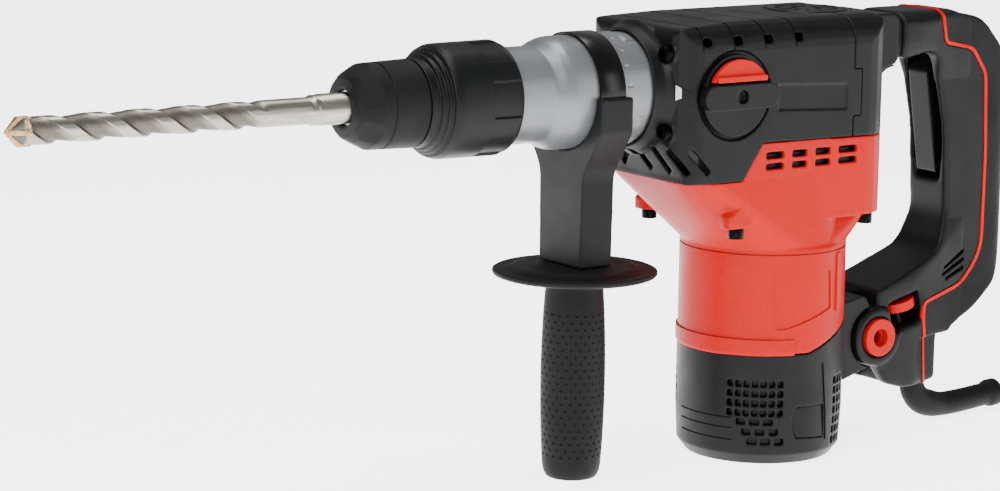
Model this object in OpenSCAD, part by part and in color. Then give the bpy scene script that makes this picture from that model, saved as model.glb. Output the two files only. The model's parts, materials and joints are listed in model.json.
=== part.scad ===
// Rotary hammer with an upright motor, an 18 mm slotted-shank tool holder,
// a swivelling side handle and a sprung rear D-handle.
// X runs along the spindle from the drill bit to the rear handle, Z is up.
// The origin is on the motor axis, at the foot of the motor end cap.

/* [Layout] */
// Height of the spindle axis above the motor foot
spindle_z = 233; // [231:0.5:235]
// Wall thickness of the plastic shells
wall = 3; // [2.5:0.1:3.2]
// Side handle axis along the spindle
side_x = -143; // [-144:0.5:-142]

/* [Motor] */
// Outer radius of the round motor casing
motor_r = 51.5; // [51:0.1:52]
// Radius of the armature laminations
armature_r = 22; // [20:0.5:22]
// Length of the lamination stacks
core_len = 50; // [40:1:52]

/* [Gears] */
// Module of the spur gears
spur_mod = 1.25; // [1.25:0.01:1.26]
// Teeth on the armature pinion
pinion_teeth = 8; // [8:1:8]
// Teeth on the intermediate gear
inter_teeth = 40; // [40:1:40]
// Teeth on the crank gear
crank_teeth = 38; // [38:1:38]
// Teeth on the bevel pinion
bevel_small = 9; // [9:1:9]
// Teeth on the bevel ring gear
bevel_large = 30; // [30:1:30]

/* [Hammer mechanism] */
// Crank throw, half of the piston stroke
crank_throw = 12; // [10:0.5:12]
// Connecting rod length between pin centres
rod_len = 82; // [82:0.5:83]
// Inner radius of the hammer cylinder
cyl_r = 19; // [19:0.1:19.2]

/* [Tool] */
// Radius of the bit shank
shank_r = 9; // [8.9:0.05:9]
// Radius of the bit flutes
bit_r = 8; // [7:0.5:8]
// X position of the bit's tip
bit_tip = -514; // [-560:1:-500]

/* [Barrel and side handle] */
// Radius of the clamping collar
collar_r = 33.5; // [33:0.1:33.6]
// Radius of the hand guard flange
flange_r = 49.5; // [45:0.5:50]
// Largest radius of the side grip
grip_r = 19; // [17:0.5:20]

/* [Cord] */
// Diameter of the power cord
cord_d = 8; // [7.5:0.1:8.2]

/* [Hidden] */

charcoal = "#34363a";
dark = "#1f2022";
red = "#e8402a";
grey = "#b9bbbd";
steel = "#9a9c9e";
copper = "#b06a3c";

fit = 0.05;        // running clearance of shafts and slides
gap = 0.4;         // clearance between pieces that move past each other
seam = 0.15;       // half of a joint line between two shells

// Gear layout, worked out from the tooth counts
crank_x = spur_mod * (pinion_teeth + crank_teeth) / 2;
inter_x = -spur_mod * (pinion_teeth + inter_teeth) / 2;
gear_z = 178;
gear_h = 12;
bevel_R = 30;
bevel_r = bevel_R * bevel_small / bevel_large;
bevel_face = 0.74;         // size of the small end of the bevel teeth
rod_z = spindle_z;
pin_y = -crank_throw;
wrist_x = crank_x - sqrt(rod_len * rod_len - crank_throw * crank_throw);

// Motor stations above the foot
brush_z = 25;
core_z = 48;
fan_z = 118;

// Rear handle
pivot = [74, 67];
handle_gap = [83.5, 88.5];
arm_y = 25;
grip_y = 18;

// Speed dial in the lower arm, which slopes up towards the grip
arm_slope = 14.5;
dial = [99, 83];
dial_y = -13.6;

// Selector on the left side
sel = [-64, 231];
side_y = 49;

// Front and rear walls of the black covers
front_x = -104;
rear_x = 61;

// ---------------------------------------------------------------- helpers

function unit(v) = v / norm(v);

// Points of a rounded corner b between a and c
function corner(a, b, c, r, n) =
    let (u = unit(a - b), v = unit(c - b), h = acos(u * v) / 2,
         m = b + unit(u + v) * r / sin(h),
         q = b + u * r / tan(h) - m, w = b + v * r / tan(h) - m,
         a0 = atan2(q.y, q.x), da = atan2(q.x * w.y - q.y * w.x, q * w))
    [for (i = [0:n]) m + r * [cos(a0 + da * i / n), sin(a0 + da * i / n)]];

// Outline from [x, y, radius] corners
function rounded(p, n = 5) =
    let (k = len(p))
    [for (i = [0:k - 1])
        let (a = p[(i + k - 1) % k], b = p[i], c = p[(i + 1) % k])
        each (b[2] == 0 ? [[b.x, b.y]]
              : corner([a.x, a.y], [b.x, b.y], [c.x, c.y], b[2], n))];

function rect(x0, y0, x1, y1, r) =
    rounded([[x0, y0, r], [x1, y0, r], [x1, y1, r], [x0, y1, r]]);

// Prisms with an outline in the XZ, YZ and XY planes
module prism_y(pts, y0, y1)
    translate([0, y1, 0]) rotate([90, 0, 0]) linear_extrude(y1 - y0) polygon(pts);

module prism_x(pts, x0, x1)
    translate([x0, 0, 0]) rotate([90, 0, 90]) linear_extrude(x1 - x0) polygon(pts);

module prism_z(pts, z0, z1)
    translate([0, 0, z0]) linear_extrude(z1 - z0) polygon(pts);

// Turned part about the spindle axis, from [x, radius] points
module turned(pts)
    translate([0, 0, spindle_z]) rotate([0, 90, 0])
        rotate_extrude($fn = 96) polygon([for (p = pts) [p[1], p[0]]]);

module tube_x(x0, x1, ro, ri = 0)
    turned([[x0, ri], [x0, ro], [x1, ro], [x1, ri]]);

// Turned part about a vertical axis, from [radius, z] points
module turned_z(pts, x = 0, y = 0)
    translate([x, y, 0]) rotate_extrude($fn = 96) polygon(pts);

module tube_z(z0, z1, ro, ri = 0, x = 0, y = 0)
    turned_z([[ri, z0], [ro, z0], [ro, z1], [ri, z1]], x, y);

module rod_y(x, z, y0, y1, r)
    translate([x, y1, z]) rotate([90, 0, 0]) cylinder(h = y1 - y0, r = r, $fn = 64);

module rod_x(y, z, x0, x1, r)
    translate([x0, y, z]) rotate([0, 90, 0]) cylinder(h = x1 - x0, r = r, $fn = 48);

module box(lo, hi) translate(lo) cube(hi - lo);

module both_sides() {
    children();
    mirror([0, 1, 0]) children();
}

// Tube swept along path points, with one radius for each point
function frame_at(p, i, side) =
    let (n = len(p), t = unit(p[min(i + 1, n - 1)] - p[max(i - 1, 0)]),
         s = unit(cross(t, side)))
    [s, cross(s, t)];

// side is a direction that the path never runs along
module sweep(path, radii, sides, side) {
    n = len(path);
    pts = [for (i = [0:n - 1])
        let (f = frame_at(path, i, side), r = is_list(radii) ? radii[i] : radii)
        for (k = [0:sides - 1])
            path[i] + r * (cos(360 * k / sides) * f[0] + sin(360 * k / sides) * f[1])];
    faces = concat(
        [[for (k = [0:sides - 1]) k]],
        [for (i = [0:n - 2]) for (k = [0:sides - 1])
            let (a = i * sides + k, b = i * sides + (k + 1) % sides)
            [a, a + sides, b + sides, b]],
        [[for (k = [sides - 1:-1:0]) (n - 1) * sides + k]]);
    polyhedron(points = pts, faces = faces, convexity = 8);
}

// Spur gear outline: straight-flanked teeth with backlash, first tooth at angle a0
function gear_outline(teeth, mod, a0) =
    let (r = teeth * mod / 2, p = 360 / teeth)
    [for (i = [0:teeth - 1]) let (a = a0 + i * p) each [
        (r - 1.0 * mod) * [cos(a - 0.30 * p), sin(a - 0.30 * p)],
        (r - 0.1 * mod) * [cos(a - 0.18 * p), sin(a - 0.18 * p)],
        (r + 0.7 * mod) * [cos(a - 0.09 * p), sin(a - 0.09 * p)],
        (r + 0.7 * mod) * [cos(a + 0.09 * p), sin(a + 0.09 * p)],
        (r - 0.1 * mod) * [cos(a + 0.18 * p), sin(a + 0.18 * p)],
        (r - 1.0 * mod) * [cos(a + 0.30 * p), sin(a + 0.30 * p)]]];

module spur_gear(teeth, a0, z0, z1, x)
    translate([x, 0, z0]) linear_extrude(z1 - z0)
        polygon(gear_outline(teeth, spur_mod, a0));

// Socket head screw along -X or Z with its hexagon socket
module socket_screw(r_head, h_head, r, len)
    difference() {
        union() {
            cylinder(h = h_head, r = r_head, $fn = 32);
            translate([0, 0, -len]) cylinder(h = len + 1, r = r, $fn = 24);
        }
        translate([0, 0, h_head * 0.4]) cylinder(h = h_head, r = r_head * 0.55, $fn = 6);
    }

// ---------------------------------------------------------------- shells

// Block that fills the gear cover and the rear cover, shrunk by t
module upper_form(t) {
    intersection() {
        prism_y(rounded([
            [front_x + t, 271 - t, 7], [-60, 273.5 - t, 60], [54, 274 - t, 8],
            [rear_x - t, 262 - t, 8], [rear_x - t, 150, 0], [front_x + 7 + t, 150, 0],
            [front_x + 7 + t, 182, 6], [front_x + t, 203, 6]]), -60, 60);
        prism_z(rounded([
            [front_x + t, -side_y + t, 17], [rear_x - t, -side_y + t, 20],
            [rear_x - t, side_y - t, 20], [front_x + t, side_y - t, 17]]), 150, 290);
        prism_x(rounded([
            [-side_y + t, 150, 0], [side_y - t, 150, 0],
            [side_y - t, 274 - t, 17], [-side_y + t, 274 - t, 17]], 6), -130, 80);
    }
}

// Space above the joint line between the black covers and the red casing
function above_joint(s) = [
    [-130, 179 + s], [-56, 179 + s], [-41, 201 + s], [90, 199.5 + s],
    [90, 290], [-130, 290]];

// Space in front of the stepped seam between the gear cover and the rear cover
function before_seam(s) = [
    [-130, 100], [28 + s, 100], [28 + s, 213 - s], [34 + s, 213 - s], [34 + s, 242 + s],
    [28 + s, 242 + s], [28 + s, 300], [-130, 300]];

// Space below the joint line
function below_joint(s) = [
    [-130, 179 - s], [-56, 179 - s], [-41, 201 - s], [90, 199.5 - s],
    [90, 60], [-130, 60]];

// Front cover screws: distance from the middle, heights and the seat of their heads
screw_y = 35.5;
screw_z = [209.5, 256.5];
screw_seat = front_x + 0.8;

// Cut of one slanted slot in the lower front corner, square to the wall there
module slot_cut(x, y, facing)
    translate([x, y, 192.5]) rotate([0, 0, facing]) rotate([42, 0, 0])
        cube([16, 3.6, 19], center = true);

module gear_cover() color(charcoal)
    difference() {
        union() {
            intersection() {
                difference() {
                    upper_form(0);
                    upper_form(wall);
                }
                prism_y(above_joint(seam), -60, 60);
                prism_y(before_seam(-seam), -60, 60);
            }
            // neck round the barrel, flared towards the front wall
            turned([[front_x - 9.5, collar_r + gap], [front_x - 9.5, collar_r + 2],
                [front_x - 3, 37.6], [front_x + 0.5, 40.5], [front_x + 2.9, 40.5],
                [front_x + 2.9, collar_r + gap]]);
            both_sides() for (z = screw_z) rod_x(screw_y, z, front_x + 0.5, screw_seat + 8, 5.4);
        }
        tube_x(front_x - 20, front_x + 6, collar_r + gap);
        tube_x(front_x + 0.4, front_x + 6, 38.3);
        both_sides() for (z = screw_z) {
            rod_x(screw_y, z, front_x - 20, screw_seat, 5);
            rod_x(screw_y, z, screw_seat - 1, screw_seat + 10, 2.5);
        }
        rod_y(sel[0], sel[1], -side_y - 1, -side_y + 1.6, 27);
        rod_y(sel[0], sel[1], -side_y - 1, -side_y + 10, 6.4);
        translate([crank_x, 0, 262]) cylinder(h = 20, r = 26, $fn = 96);
        both_sides() {
            slot_cut(front_x + 1, -8, 180);
            slot_cut(front_x + 2, -27, 192);
            slot_cut(-97, -39, 225);
            slot_cut(-88, -46, 255);
        }
        // vents along the upper edge
        both_sides() for (x = [-84, -61, -38, -15])
            box([x - 3.2, -60, 260.5], [x + 3.2, -40, 265.5]);
        // recessed panel beside the selector
        prism_y([[-31, 219.7], [23, 217], [23, 233.3], [-31, 236]], -60, -side_y + 0.8);
    }

module stub_form(t)
    prism_y(rounded([
        [40, 272 - t, 0], [handle_gap[0], 270.5 - t, 5], [handle_gap[0] + 0.8, 240 + t, 6],
        [72, 236 + t, 6], [40, 236 + t, 0]]), -arm_y + t, arm_y - t);

module rear_cover() color(charcoal)
    difference() {
        union() {
            intersection() {
                upper_form(0);
                prism_y(above_joint(seam), -60, 60);
                difference() {
                    box([0, -60, 100], [90, 60, 300]);
                    prism_y(before_seam(seam), -61, 61);
                }
            }
            intersection() {
                stub_form(0);
                box([60, -60, 200], [90, 60, 300]);
            }
            difference() {
                box([65, -22, 222], [84, 22, 238]);
                rod_y(84, 222, -30, 30, 15);
            }
        }
        intersection() {
            upper_form(wall);
            box([20, -60, 100], [90, 60, 300]);
        }
        intersection() {
            stub_form(wall);
            box([50, -60, 200], [81, 60, 300]);
        }
        translate([crank_x, 0, 262]) cylinder(h = 20, r = 26, $fn = 96);
        both_sides() rod_y(52, 213, -side_y - 1, -side_y + 2, 3.6);
    }

function plan(x0, x1, y, r) = rect(x0, -y, x1, y, r);

// Red casing: a rounded box whose front half tapers into the motor cylinder,
// while its rear half ends in a shelf above the rear screws
module red_form(t) {
    red_front = front_x + 8;
    red_rear = rear_x + 2;
    prism_z(plan(red_front + t, red_rear - t, 48 - t, 22), 180, 240);
    hull() {
        prism_z(plan(red_front + t, 20, 47.9 - t, 22), 180, 180.4);
        tube_z(133, 133.1, motor_r - 1 - t);
    }
    prism_z(plan(-20, red_rear - t, 48 - t, 22), 151 + t, 181);
    hull() {
        prism_z(plan(-20, 54 - t, 42 - t, 14), 151 + t, 151.1 + t);
        tube_z(133, 133.1, motor_r - 1 - t);
    }
    tube_z(40, 134, motor_r - t);
}

// Vents below the joint line: columns along x and rows along z
vent_cols = [[-38, -24], [-18, -6], [0, 12.2], [18.5, 33]];
vent_rows = [[184.4, 188], [190.8, 195]];

// Places of the four screws that hold the casing to the gearbox
motor_screw_at = [[-56, 43], [50, 37]];

function cap_joint(s) = [[-70, 68.5 + s], [-2, 69.5 + s], [70, 96 + s]];

module motor_housing() color(red)
    difference() {
        union() {
            intersection() {
                difference() {
                    red_form(0);
                    red_form(wall);
                }
                prism_y(concat(cap_joint(seam), [[90, 96 + seam], [90, 240], [-130, 240],
                    [-130, 68.5 + seam]]), -60, 60);
                prism_y(below_joint(seam), -60, 60);
            }
            both_sides() {
                // gussets that carry the front bosses
                intersection() {
                    hull() {
                        tube_z(150, 157, 9.2, 0, motor_screw_at[0].x, motor_screw_at[0].y);
                        tube_z(150, 171.5, 4, 0, motor_screw_at[0].x + 6, motor_screw_at[0].y - 8);
                    }
                    prism_z(plan(front_x + 8.4, 10, 47.6, 22), 140, 190);
                }
                tube_z(151, 168, 7, 0, motor_screw_at[1].x, motor_screw_at[1].y);
            }
            difference() {
                tube_z(core_z + 2, core_z + core_len - 4, motor_r - 1, 42.6);
                box([-60, -60, 0], [60, 60, 91.5]);
            }
        }
        both_sides() {
            for (p = motor_screw_at) {
                tube_z(140, 172, 2.7, 0, p.x, p.y);
                tube_z(142, 150, 5.3, 0, p.x, p.y);
            }
            for (v = vent_cols) for (z = vent_rows)
                box([v[0], 40, z[0]], [v[1], 60, z[1]]);
        }
    }

module motor_end_cap() color(charcoal)
    difference() {
        intersection() {
            turned_z([[0, 0], [45, 0], [motor_r - 1, 7], [motor_r + 0.2, 30],
                [motor_r, 96], [0, 96]]);
            prism_y(concat([[-70, -1]], cap_joint(-seam), [[70, -1]]), -60, 60);
        }
        difference() {
            turned_z([[0, wall], [42, wall], [motor_r - wall, 10], [motor_r - wall, 100],
                [0, 100]]);
            tube_z(0, 12, 17);
        }
        tube_z(4, 12.5, 13);
        both_sides() {
            prism_y(brush_cover(0.15), motor_r - 6, motor_r + 4);
            // square vents on the selector side's front, wider ones below, a grid behind
            for (i = [0:6]) for (k = [0:3])
                rotate([0, 0, 114 + i * 5.8]) box([40, -1.9, 31 + k * 6], [60, 1.9, 35 + k * 6]);
            for (i = [0:2]) for (k = [0:2])
                rotate([0, 0, 118 + i * 9.4 + (k - 1) * 4])
                    box([40, -2.9, 13 + k * 6.2], [60, 2.9, 17 + k * 6.2]);
            for (i = [0:2]) for (k = [0:6])
                rotate([0, 0, 53 + i * 5.6]) box([40, -1.6, 9.6 + k * 6.3], [60, 1.6, 13.8 + k * 6.3]);
        }
    }

// Block that fills the gearbox casing, shrunk by t
module case_form(t)
    intersection() {
        prism_y(rounded([
            [front_x + 4 + t, 262 - t, 6], [-60, 268.5 - t, 40], [46 - t, 268.5 - t, 8],
            [57 - t, 256 - t, 8], [57 - t, 172 + t, 2], [-60, 172 + t, 6],
            [-84 + t, 188 + t, 6], [front_x + 4 + t, 204 + t, 6]]), -45, 45);
        prism_z(rounded([
            [front_x + 4 + t, -39.5 + t, 26], [57 - t, -39.5 + t, 20],
            [57 - t, 39.5 - t, 20], [front_x + 4 + t, 39.5 - t, 26]]), 150, 290);
        prism_x(rounded([
            [-39.5 + t, 150, 0], [39.5 - t, 150, 0],
            [39.5 - t, 268.5 - t, 18], [-39.5 + t, 268.5 - t, 18]]), -130, 80);
    }

// Aluminium gearbox casing with its bearing walls
module gearbox_case() color(steel)
    difference() {
        union() {
            difference() {
                case_form(0);
                case_form(3);
            }
            intersection() {
                case_form(1);
                union() {
                    box([-66, -50, 191], [-54, 50, 290]);
                    box([-53.9, -50, 191], [-6, 50, 199]);
                    box([8, -50, 193], [57, 50, 203]);
                }
            }
            tube_z(160, 175, 20);
        }
        tube_x(-120, -90, 28);
        tube_x(-70, -50, 31);
        tube_z(150, 174, 16);
        tube_z(150, 204, 9);
        tube_z(170, 177, 9.5, 0, inter_x);
        tube_z(190, 200, 12, 0, inter_x);
        tube_z(172, 178, 13, 0, crank_x);
        tube_z(190, 204, 16, 0, crank_x);
        tube_z(255, 272, 24, 0, crank_x);
        rod_y(sel[0], sel[1], -45, -30, 7);
    }

// Painted barrel with the clamping collar for the side handle
module front_barrel() color(grey)
    difference() {
        turned([
            [-203, 24], [-203, 28.5], [-178, 28.5], [-172, 31.6], [-167, 33.2],
            [-163, collar_r], [front_x + 0.6, collar_r], [front_x + 0.6, 38],
            [front_x + 3.2, 38], [front_x + 3.2, 27],
            [-176, 27], [-182, 25], [-196, 25], [-196, 24]]);
        both_sides() for (a = [20:20:160])
            translate([0, 0, spindle_z]) rotate([a, 0, 0])
                box([-131, -0.8, collar_r - 0.8], [-127, 0.8, collar_r + 2]);
    }

module crank_cap() color(charcoal)
    difference() {
        translate([crank_x, 0, 0]) union() {
            tube_z(269, 274.5, 25.6);
            tube_z(258, 269.1, 23.8);
        }
        tube_z(250, 267, 20, 0, crank_x);
        for (i = [0:7])
            translate([crank_x, 0, 272.8]) rotate([0, 0, i * 45])
                translate([15, 0, 0]) cylinder(h = 4, r = 4.2, $fn = 24);
        tube_z(272.8, 280, 5, 0, crank_x);
    }

// Direction from the corner's centre to the pointer
pointer_a = -133;

// Curved triangle that lies on the rounded front corner of the gear cover
module index_pointer() color("silver")
    translate([front_x + 17, 17 - side_y, 234]) rotate([0, 0, pointer_a]) intersection() {
        tube_z(-10, 10, 17.9, 17.05);
        rotate([90, 0, 90]) linear_extrude(40) polygon([[-5, -4.5], [5, 0], [-5, 4.5]]);
    }

module cover_screws() color(dark)
    both_sides() for (z = screw_z)
        translate([screw_seat - 0.05, screw_y, z]) rotate([0, -90, 0]) rotate([0, 0, 30])
            socket_screw(4.6, 5, 2.4, 7);

module motor_screws() color(dark)
    both_sides() for (p = motor_screw_at)
        translate([p.x, p.y, 149.8]) rotate([180, 0, 0]) socket_screw(4.7, 6, 2.5, 20);

// Fixed bracket on the motor casing that carries the lower end of the rear handle
module pivot_bracket() color(charcoal)
    difference() {
        union() {
            difference() {
                prism_y(rounded([[44, 90, 4], [64, 94, 3], [80, 70, 0], [80, 50, 0],
                    [66, 47, 3], [44, 40, 4]]), -24, 24);
                rod_y(pivot.x, pivot.y, -60, 60, 20);
            }
            rod_y(pivot.x, pivot.y, -15, 15, 16);
            prism_y(rect(48, 53, 66, 81, 2), -15, 15);
        }
        tube_z(0, 120, motor_r + 0.3);
        rod_y(pivot.x, pivot.y, -60, 60, 8 + fit);
    }

// ---------------------------------------------------------------- motor

module field_core() color(steel)
    intersection() {
        tube_z(core_z, core_z + core_len, 42.4, armature_r + 0.7);
        box([-43, -36, 0], [43, 36, 200]);
    }

module field_coils() color(copper)
    for (z = [core_z - 9, core_z + core_len + 0.1])
        intersection() {
            tube_z(z, z + 8.9, 36, armature_r + 3);
            difference() {
                box([-50, -50, 0], [50, 50, 200]);
                box([-50, -9, 0], [50, 9, 200]);
            }
        }

module brush_holders() color(copper)
    both_sides() difference() {
        union() {
            box([-7, 18, brush_z - 9], [7, 44, brush_z + 9]);
            rod_y(4, brush_z, 42, 45.4, 8.8);
        }
        box([-4, 10, brush_z - 6], [4, 40, brush_z + 6]);
    }

module carbon_brushes() color("#2a2a2a")
    both_sides() intersection() {
        box([-3.9, 14, brush_z - 5.9], [3.9, 32, brush_z + 5.9]);
        difference() {
            box([-10, 0, 0], [10, 60, 60]);
            tube_z(0, 60, 15.05);
        }
    }

// Outline of a brush cover, grown by d
function brush_cover(d) = [
    [-11 - d, 36 + d], [-13.5 - d, 27], [-10 - d, 17 - d], [11.5 + d, 15.5 - d],
    [10.7 + d, 36 + d]];

module brush_caps() color(dark)
    both_sides() intersection() {
        prism_y(brush_cover(0), 45.6, motor_r);
        tube_z(0, 60, motor_r - 0.9);
    }

module bearing_z(z0, z1, ri, ro, x = 0)
    difference() {
        tube_z(z0, z1, ro, ri, x);
        tube_z(z1 - 0.8, z1 + 1, ro - 1.6, ri + 1.6, x);
    }

module armature_bearings() color(steel) {
    bearing_z(4.2, 12.2, 4 + fit, 12.9);
    bearing_z(162, 173.8, 6 + fit, 15.9);
}

module spindle_bearings() color(steel) {
    difference() {
        tube_x(-195.9, -183, 24.9, 22 + fit);
        tube_x(-197, -195.2, 24.2, 22.8);
    }
    difference() {
        tube_x(-65.9, -54.1, 30.9, 22 + fit);
        tube_x(-67, -65.2, 29, 24);
    }
}

module gear_bearings() color(steel) {
    bearing_z(171, 176.8, 4 + fit, 9.4, inter_x);
    bearing_z(191.1, 198.9, 5 + fit, 11.9, inter_x);
    bearing_z(172.2, 177.8, 6 + fit, 12.9, crank_x);
    bearing_z(193.1, 202.9, 7 + fit, 15.9, crank_x);
}

module armature_shaft() color(steel) {
    tube_z(4.4, 14.8, 4);
    tube_z(14.8, gear_z - 3, 6);
    spur_gear(pinion_teeth, 0, gear_z - 3.01, gear_z + gear_h + 4, 0);
}

module armature_core() color(copper) {
    difference() {
        tube_z(core_z, core_z + core_len, armature_r, 6);
        for (i = [0:11]) rotate([0, 0, i * 30])
            box([armature_r - 1.6, -1, 0], [armature_r + 2, 1, 200]);
    }
    turned_z([[6, core_z - 9], [17, core_z - 9], [20, core_z - 4], [20, core_z], [6, core_z]]);
    turned_z([[6, core_z + core_len], [20, core_z + core_len], [20, core_z + core_len + 4],
        [17, core_z + core_len + 9], [6, core_z + core_len + 9]]);
}

module commutator() color(copper)
    difference() {
        tube_z(16, 37, 15, 6);
        for (i = [0:23]) rotate([0, 0, i * 15]) box([14, -0.3, 0], [17, 0.3, 34]);
    }

module cooling_fan() color(dark) {
    tube_z(fan_z, fan_z + 2.5, 40, 6);
    tube_z(fan_z + 2.5, fan_z + 14, 11, 6);
    for (i = [0:10]) rotate([0, 0, i * 360 / 11])
        translate([0, 0, fan_z + 2.4]) linear_extrude(11)
            polygon([[12, -1], [26, 1], [39, 7], [38, 8.6], [25, 2.8], [11, 1]]);
}

// ---------------------------------------------------------------- gear train

module intermediate_gear() color(steel)
    difference() {
        spur_gear(inter_teeth, 180 / inter_teeth, gear_z, gear_z + gear_h, inter_x);
        tube_z(gear_z - 1, gear_z + gear_h + 1, 5, 0, inter_x);
        for (i = [0:5]) translate([inter_x, 0, 0]) rotate([0, 0, i * 60])
            tube_z(gear_z - 1, gear_z + gear_h + 1, 3.4, 0, 15);
    }

// Bevel pinion on its upright shaft; its tooth cone runs up to the spindle axis
module bevel_pinion() color(steel) {
    p = 360 / bevel_small;
    m = 2 * bevel_r / bevel_small;
    translate([inter_x, 0, 0]) {
        tube_z(171.2, gear_z - 0.8, 4);
        tube_z(gear_z - 0.8, spindle_z - bevel_R, 5);
        translate([0, 0, spindle_z - bevel_R])
            linear_extrude(bevel_R * (1 - bevel_face), scale = bevel_face)
                polygon([for (i = [0:bevel_small - 1])
                    let (a = 20 + i * p) each [
                    (bevel_r - 1.1 * m) * [cos(a - 0.30 * p), sin(a - 0.30 * p)],
                    (bevel_r - 0.1 * m) * [cos(a - 0.17 * p), sin(a - 0.17 * p)],
                    (bevel_r + 0.6 * m) * [cos(a - 0.08 * p), sin(a - 0.08 * p)],
                    (bevel_r + 0.6 * m) * [cos(a + 0.08 * p), sin(a + 0.08 * p)],
                    (bevel_r - 0.1 * m) * [cos(a + 0.17 * p), sin(a + 0.17 * p)],
                    (bevel_r - 1.1 * m) * [cos(a + 0.30 * p), sin(a + 0.30 * p)]]]);
    }
}

// One tooth of the ring gear as a wedge that tapers towards the spindle axis
module ring_tooth() {
    m = 2 * bevel_R / bevel_large;
    w = 360 / bevel_large;
    apex = bevel_r;                    // distance from the tooth face to the apex
    // corner at cone scale k, height h above the pitch face, angle share s
    function c(k, h, s) =
        [-(apex * k) + h * k, bevel_R * k * sin(s * w), -bevel_R * k * cos(s * w)];
    pts = [for (k = [1.03, bevel_face + 0.02]) each
        [c(k, -1.4 * m, -0.24), c(k, 0.6 * m, -0.09), c(k, 0.6 * m, 0.09),
         c(k, -1.4 * m, 0.24)]];
    polyhedron(points = pts, faces = [[0, 1, 2, 3], [7, 6, 5, 4],
        [0, 4, 5, 1], [1, 5, 6, 2], [2, 6, 7, 3], [3, 7, 4, 0]]);
}

module bevel_ring_gear() color(steel) {
    x0 = inter_x - bevel_r - 10;
    turned([[x0, 22], [x0, 31.4], [x0 + 7.4, 31.4], [x0 + 8, 30], [x0 + 8.6, 24],
        [x0 + 8.6, 22]]);
    for (i = [0:bevel_large - 1])
        translate([inter_x, 0, spindle_z])
            rotate([(i + 0.5) * 360 / bevel_large, 0, 0]) ring_tooth();
}

module crank_gear() color(steel)
    difference() {
        spur_gear(crank_teeth, 180 / crank_teeth, gear_z, gear_z + gear_h, crank_x);
        tube_z(gear_z - 1, gear_z + gear_h + 1, 7 + fit, 0, crank_x);
        for (i = [0:5]) translate([crank_x, 0, 0]) rotate([0, 0, i * 60])
            tube_z(gear_z - 1, gear_z + gear_h + 1, 3, 0, 14);
    }

module crankshaft() color(steel) {
    tube_z(172.4, gear_z - 0.1, 6, 0, crank_x);
    tube_z(gear_z - 0.1, 205, 7, 0, crank_x);
    tube_z(205, 218, 20, 0, crank_x);
    tube_z(217.9, rod_z + 8, 5, 0, crank_x, pin_y);
}

module connecting_rod() color(steel)
    difference() {
        union() {
            tube_z(rod_z - 6, rod_z + 6, 10, 0, crank_x, pin_y);
            tube_z(rod_z - 5, rod_z + 5, 7.5, 0, wrist_x);
            translate([crank_x, pin_y, 0])
                rotate([0, 0, 180 - asin(crank_throw / rod_len)])
                    box([6, -4.5, rod_z - 4], [rod_len - 5, 4.5, rod_z + 4]);
        }
        tube_z(rod_z - 9, rod_z + 9, 5.45, 0, crank_x, pin_y);
        tube_z(rod_z - 9, rod_z + 9, 4 + fit, 0, wrist_x);
    }

module piston() color(steel)
    difference() {
        turned([[wrist_x - 13, 0], [wrist_x - 13, 18.5], [wrist_x - 10, 18.5],
            [wrist_x - 10, 17.6], [wrist_x - 7, 17.6], [wrist_x - 7, cyl_r - fit],
            [wrist_x + 12, cyl_r - fit], [wrist_x + 12, 0]]);
        box([wrist_x - 8.4, -12, rod_z - 6.5], [wrist_x + 20, 12, rod_z + 6.5]);
        tube_z(rod_z - 30, rod_z + 30, 4, 0, wrist_x);
    }

module wrist_pin() color(steel)
    tube_z(rod_z - 16, rod_z + 16, 4, 0, wrist_x);

// ---------------------------------------------------------------- spindle

module hammer_cylinder() color(steel)
    difference() {
        tube_x(-135, inter_x - 7.2, 22, cyl_r);
        for (a = [0:60:300]) translate([0, 0, spindle_z]) rotate([a, 0, 0])
            translate([-92, 0, 0]) cylinder(h = 30, r = 1.5, $fn = 16);
    }

module tool_holder() color(steel)
    difference() {
        turned([
            [-303, shank_r + fit], [-303, 12], [-300, 14], [-262, 14], [-262, 19],
            [-214, 19], [-214, 23.5], [-210, 23.5], [-210, 19], [-200, 19], [-200, 22],
            [-135.1, 22], [-135.1, 17], [-185, 17], [-185, 12 + fit], [-207, 12 + fit],
            [-207, shank_r + fit]]);
        for (s = [-1, 1]) rod_x(0, spindle_z + s * 10.9, -244.2, -225.8, 3.45);
    }

module lock_rollers() color(steel)
    for (s = [-1, 1]) rod_x(0, spindle_z + s * 10.9, -244, -226, 3.4);

module dust_cap() color(dark)
    turned([
        [-303.2, shank_r + 0.7], [-305.2, shank_r + 0.9], [-305.8, 12], [-305.4, 15],
        [-303, 18.5], [-290, 24.6],
        [-286, 25], [-271.4, 25.2], [-271, 24.6], [-270.6, 25.2], [-262.3, 25.4],
        [-262.3, 14.05], [-300.1, 14.05], [-303.2, 12.05]]);

module lock_sleeve() color(charcoal)
    difference() {
        turned([
            [-261.7, 19.4], [-261.7, 25.6], [-257.6, 25.8], [-257.6, 27.6], [-254.6, 27.8],
            [-254.6, 29.6], [-251.8, 29.8], [-251.8, 31.6], [-249, 33], [-246, 33.3],
            [-207, 33.6], [-203.6, 32.6], [-203.2, 30.5], [-203.2, 29.4], [-243, 29.4],
            [-243, 19.4]]);
        for (a = [45:90:315]) translate([0, 0, spindle_z]) rotate([a, 0, 0])
            box([-226, -10, 32.4], [-203, 10, 40]);
    }

module sleeve_spring() color(steel) {
    turns = 4;
    steps = 18 * turns;
    sweep([for (i = [0:steps]) let (a = 360 * i / 18)
        [-241.8 + 26.6 * i / steps, 23 * cos(a), spindle_z + 23 * sin(a)]], 1.1, 6, [1, 0, 0]);
}

module striker() color(steel)
    difference() {
        turned([[-118, 0], [-118, 11], [-104, 11], [-102, cyl_r - fit], [-72, cyl_r - fit],
            [-72, 0]]);
        difference() {
            tube_x(-92, -88, 30);
            tube_x(-93, -87, 17.4);
        }
    }

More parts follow.
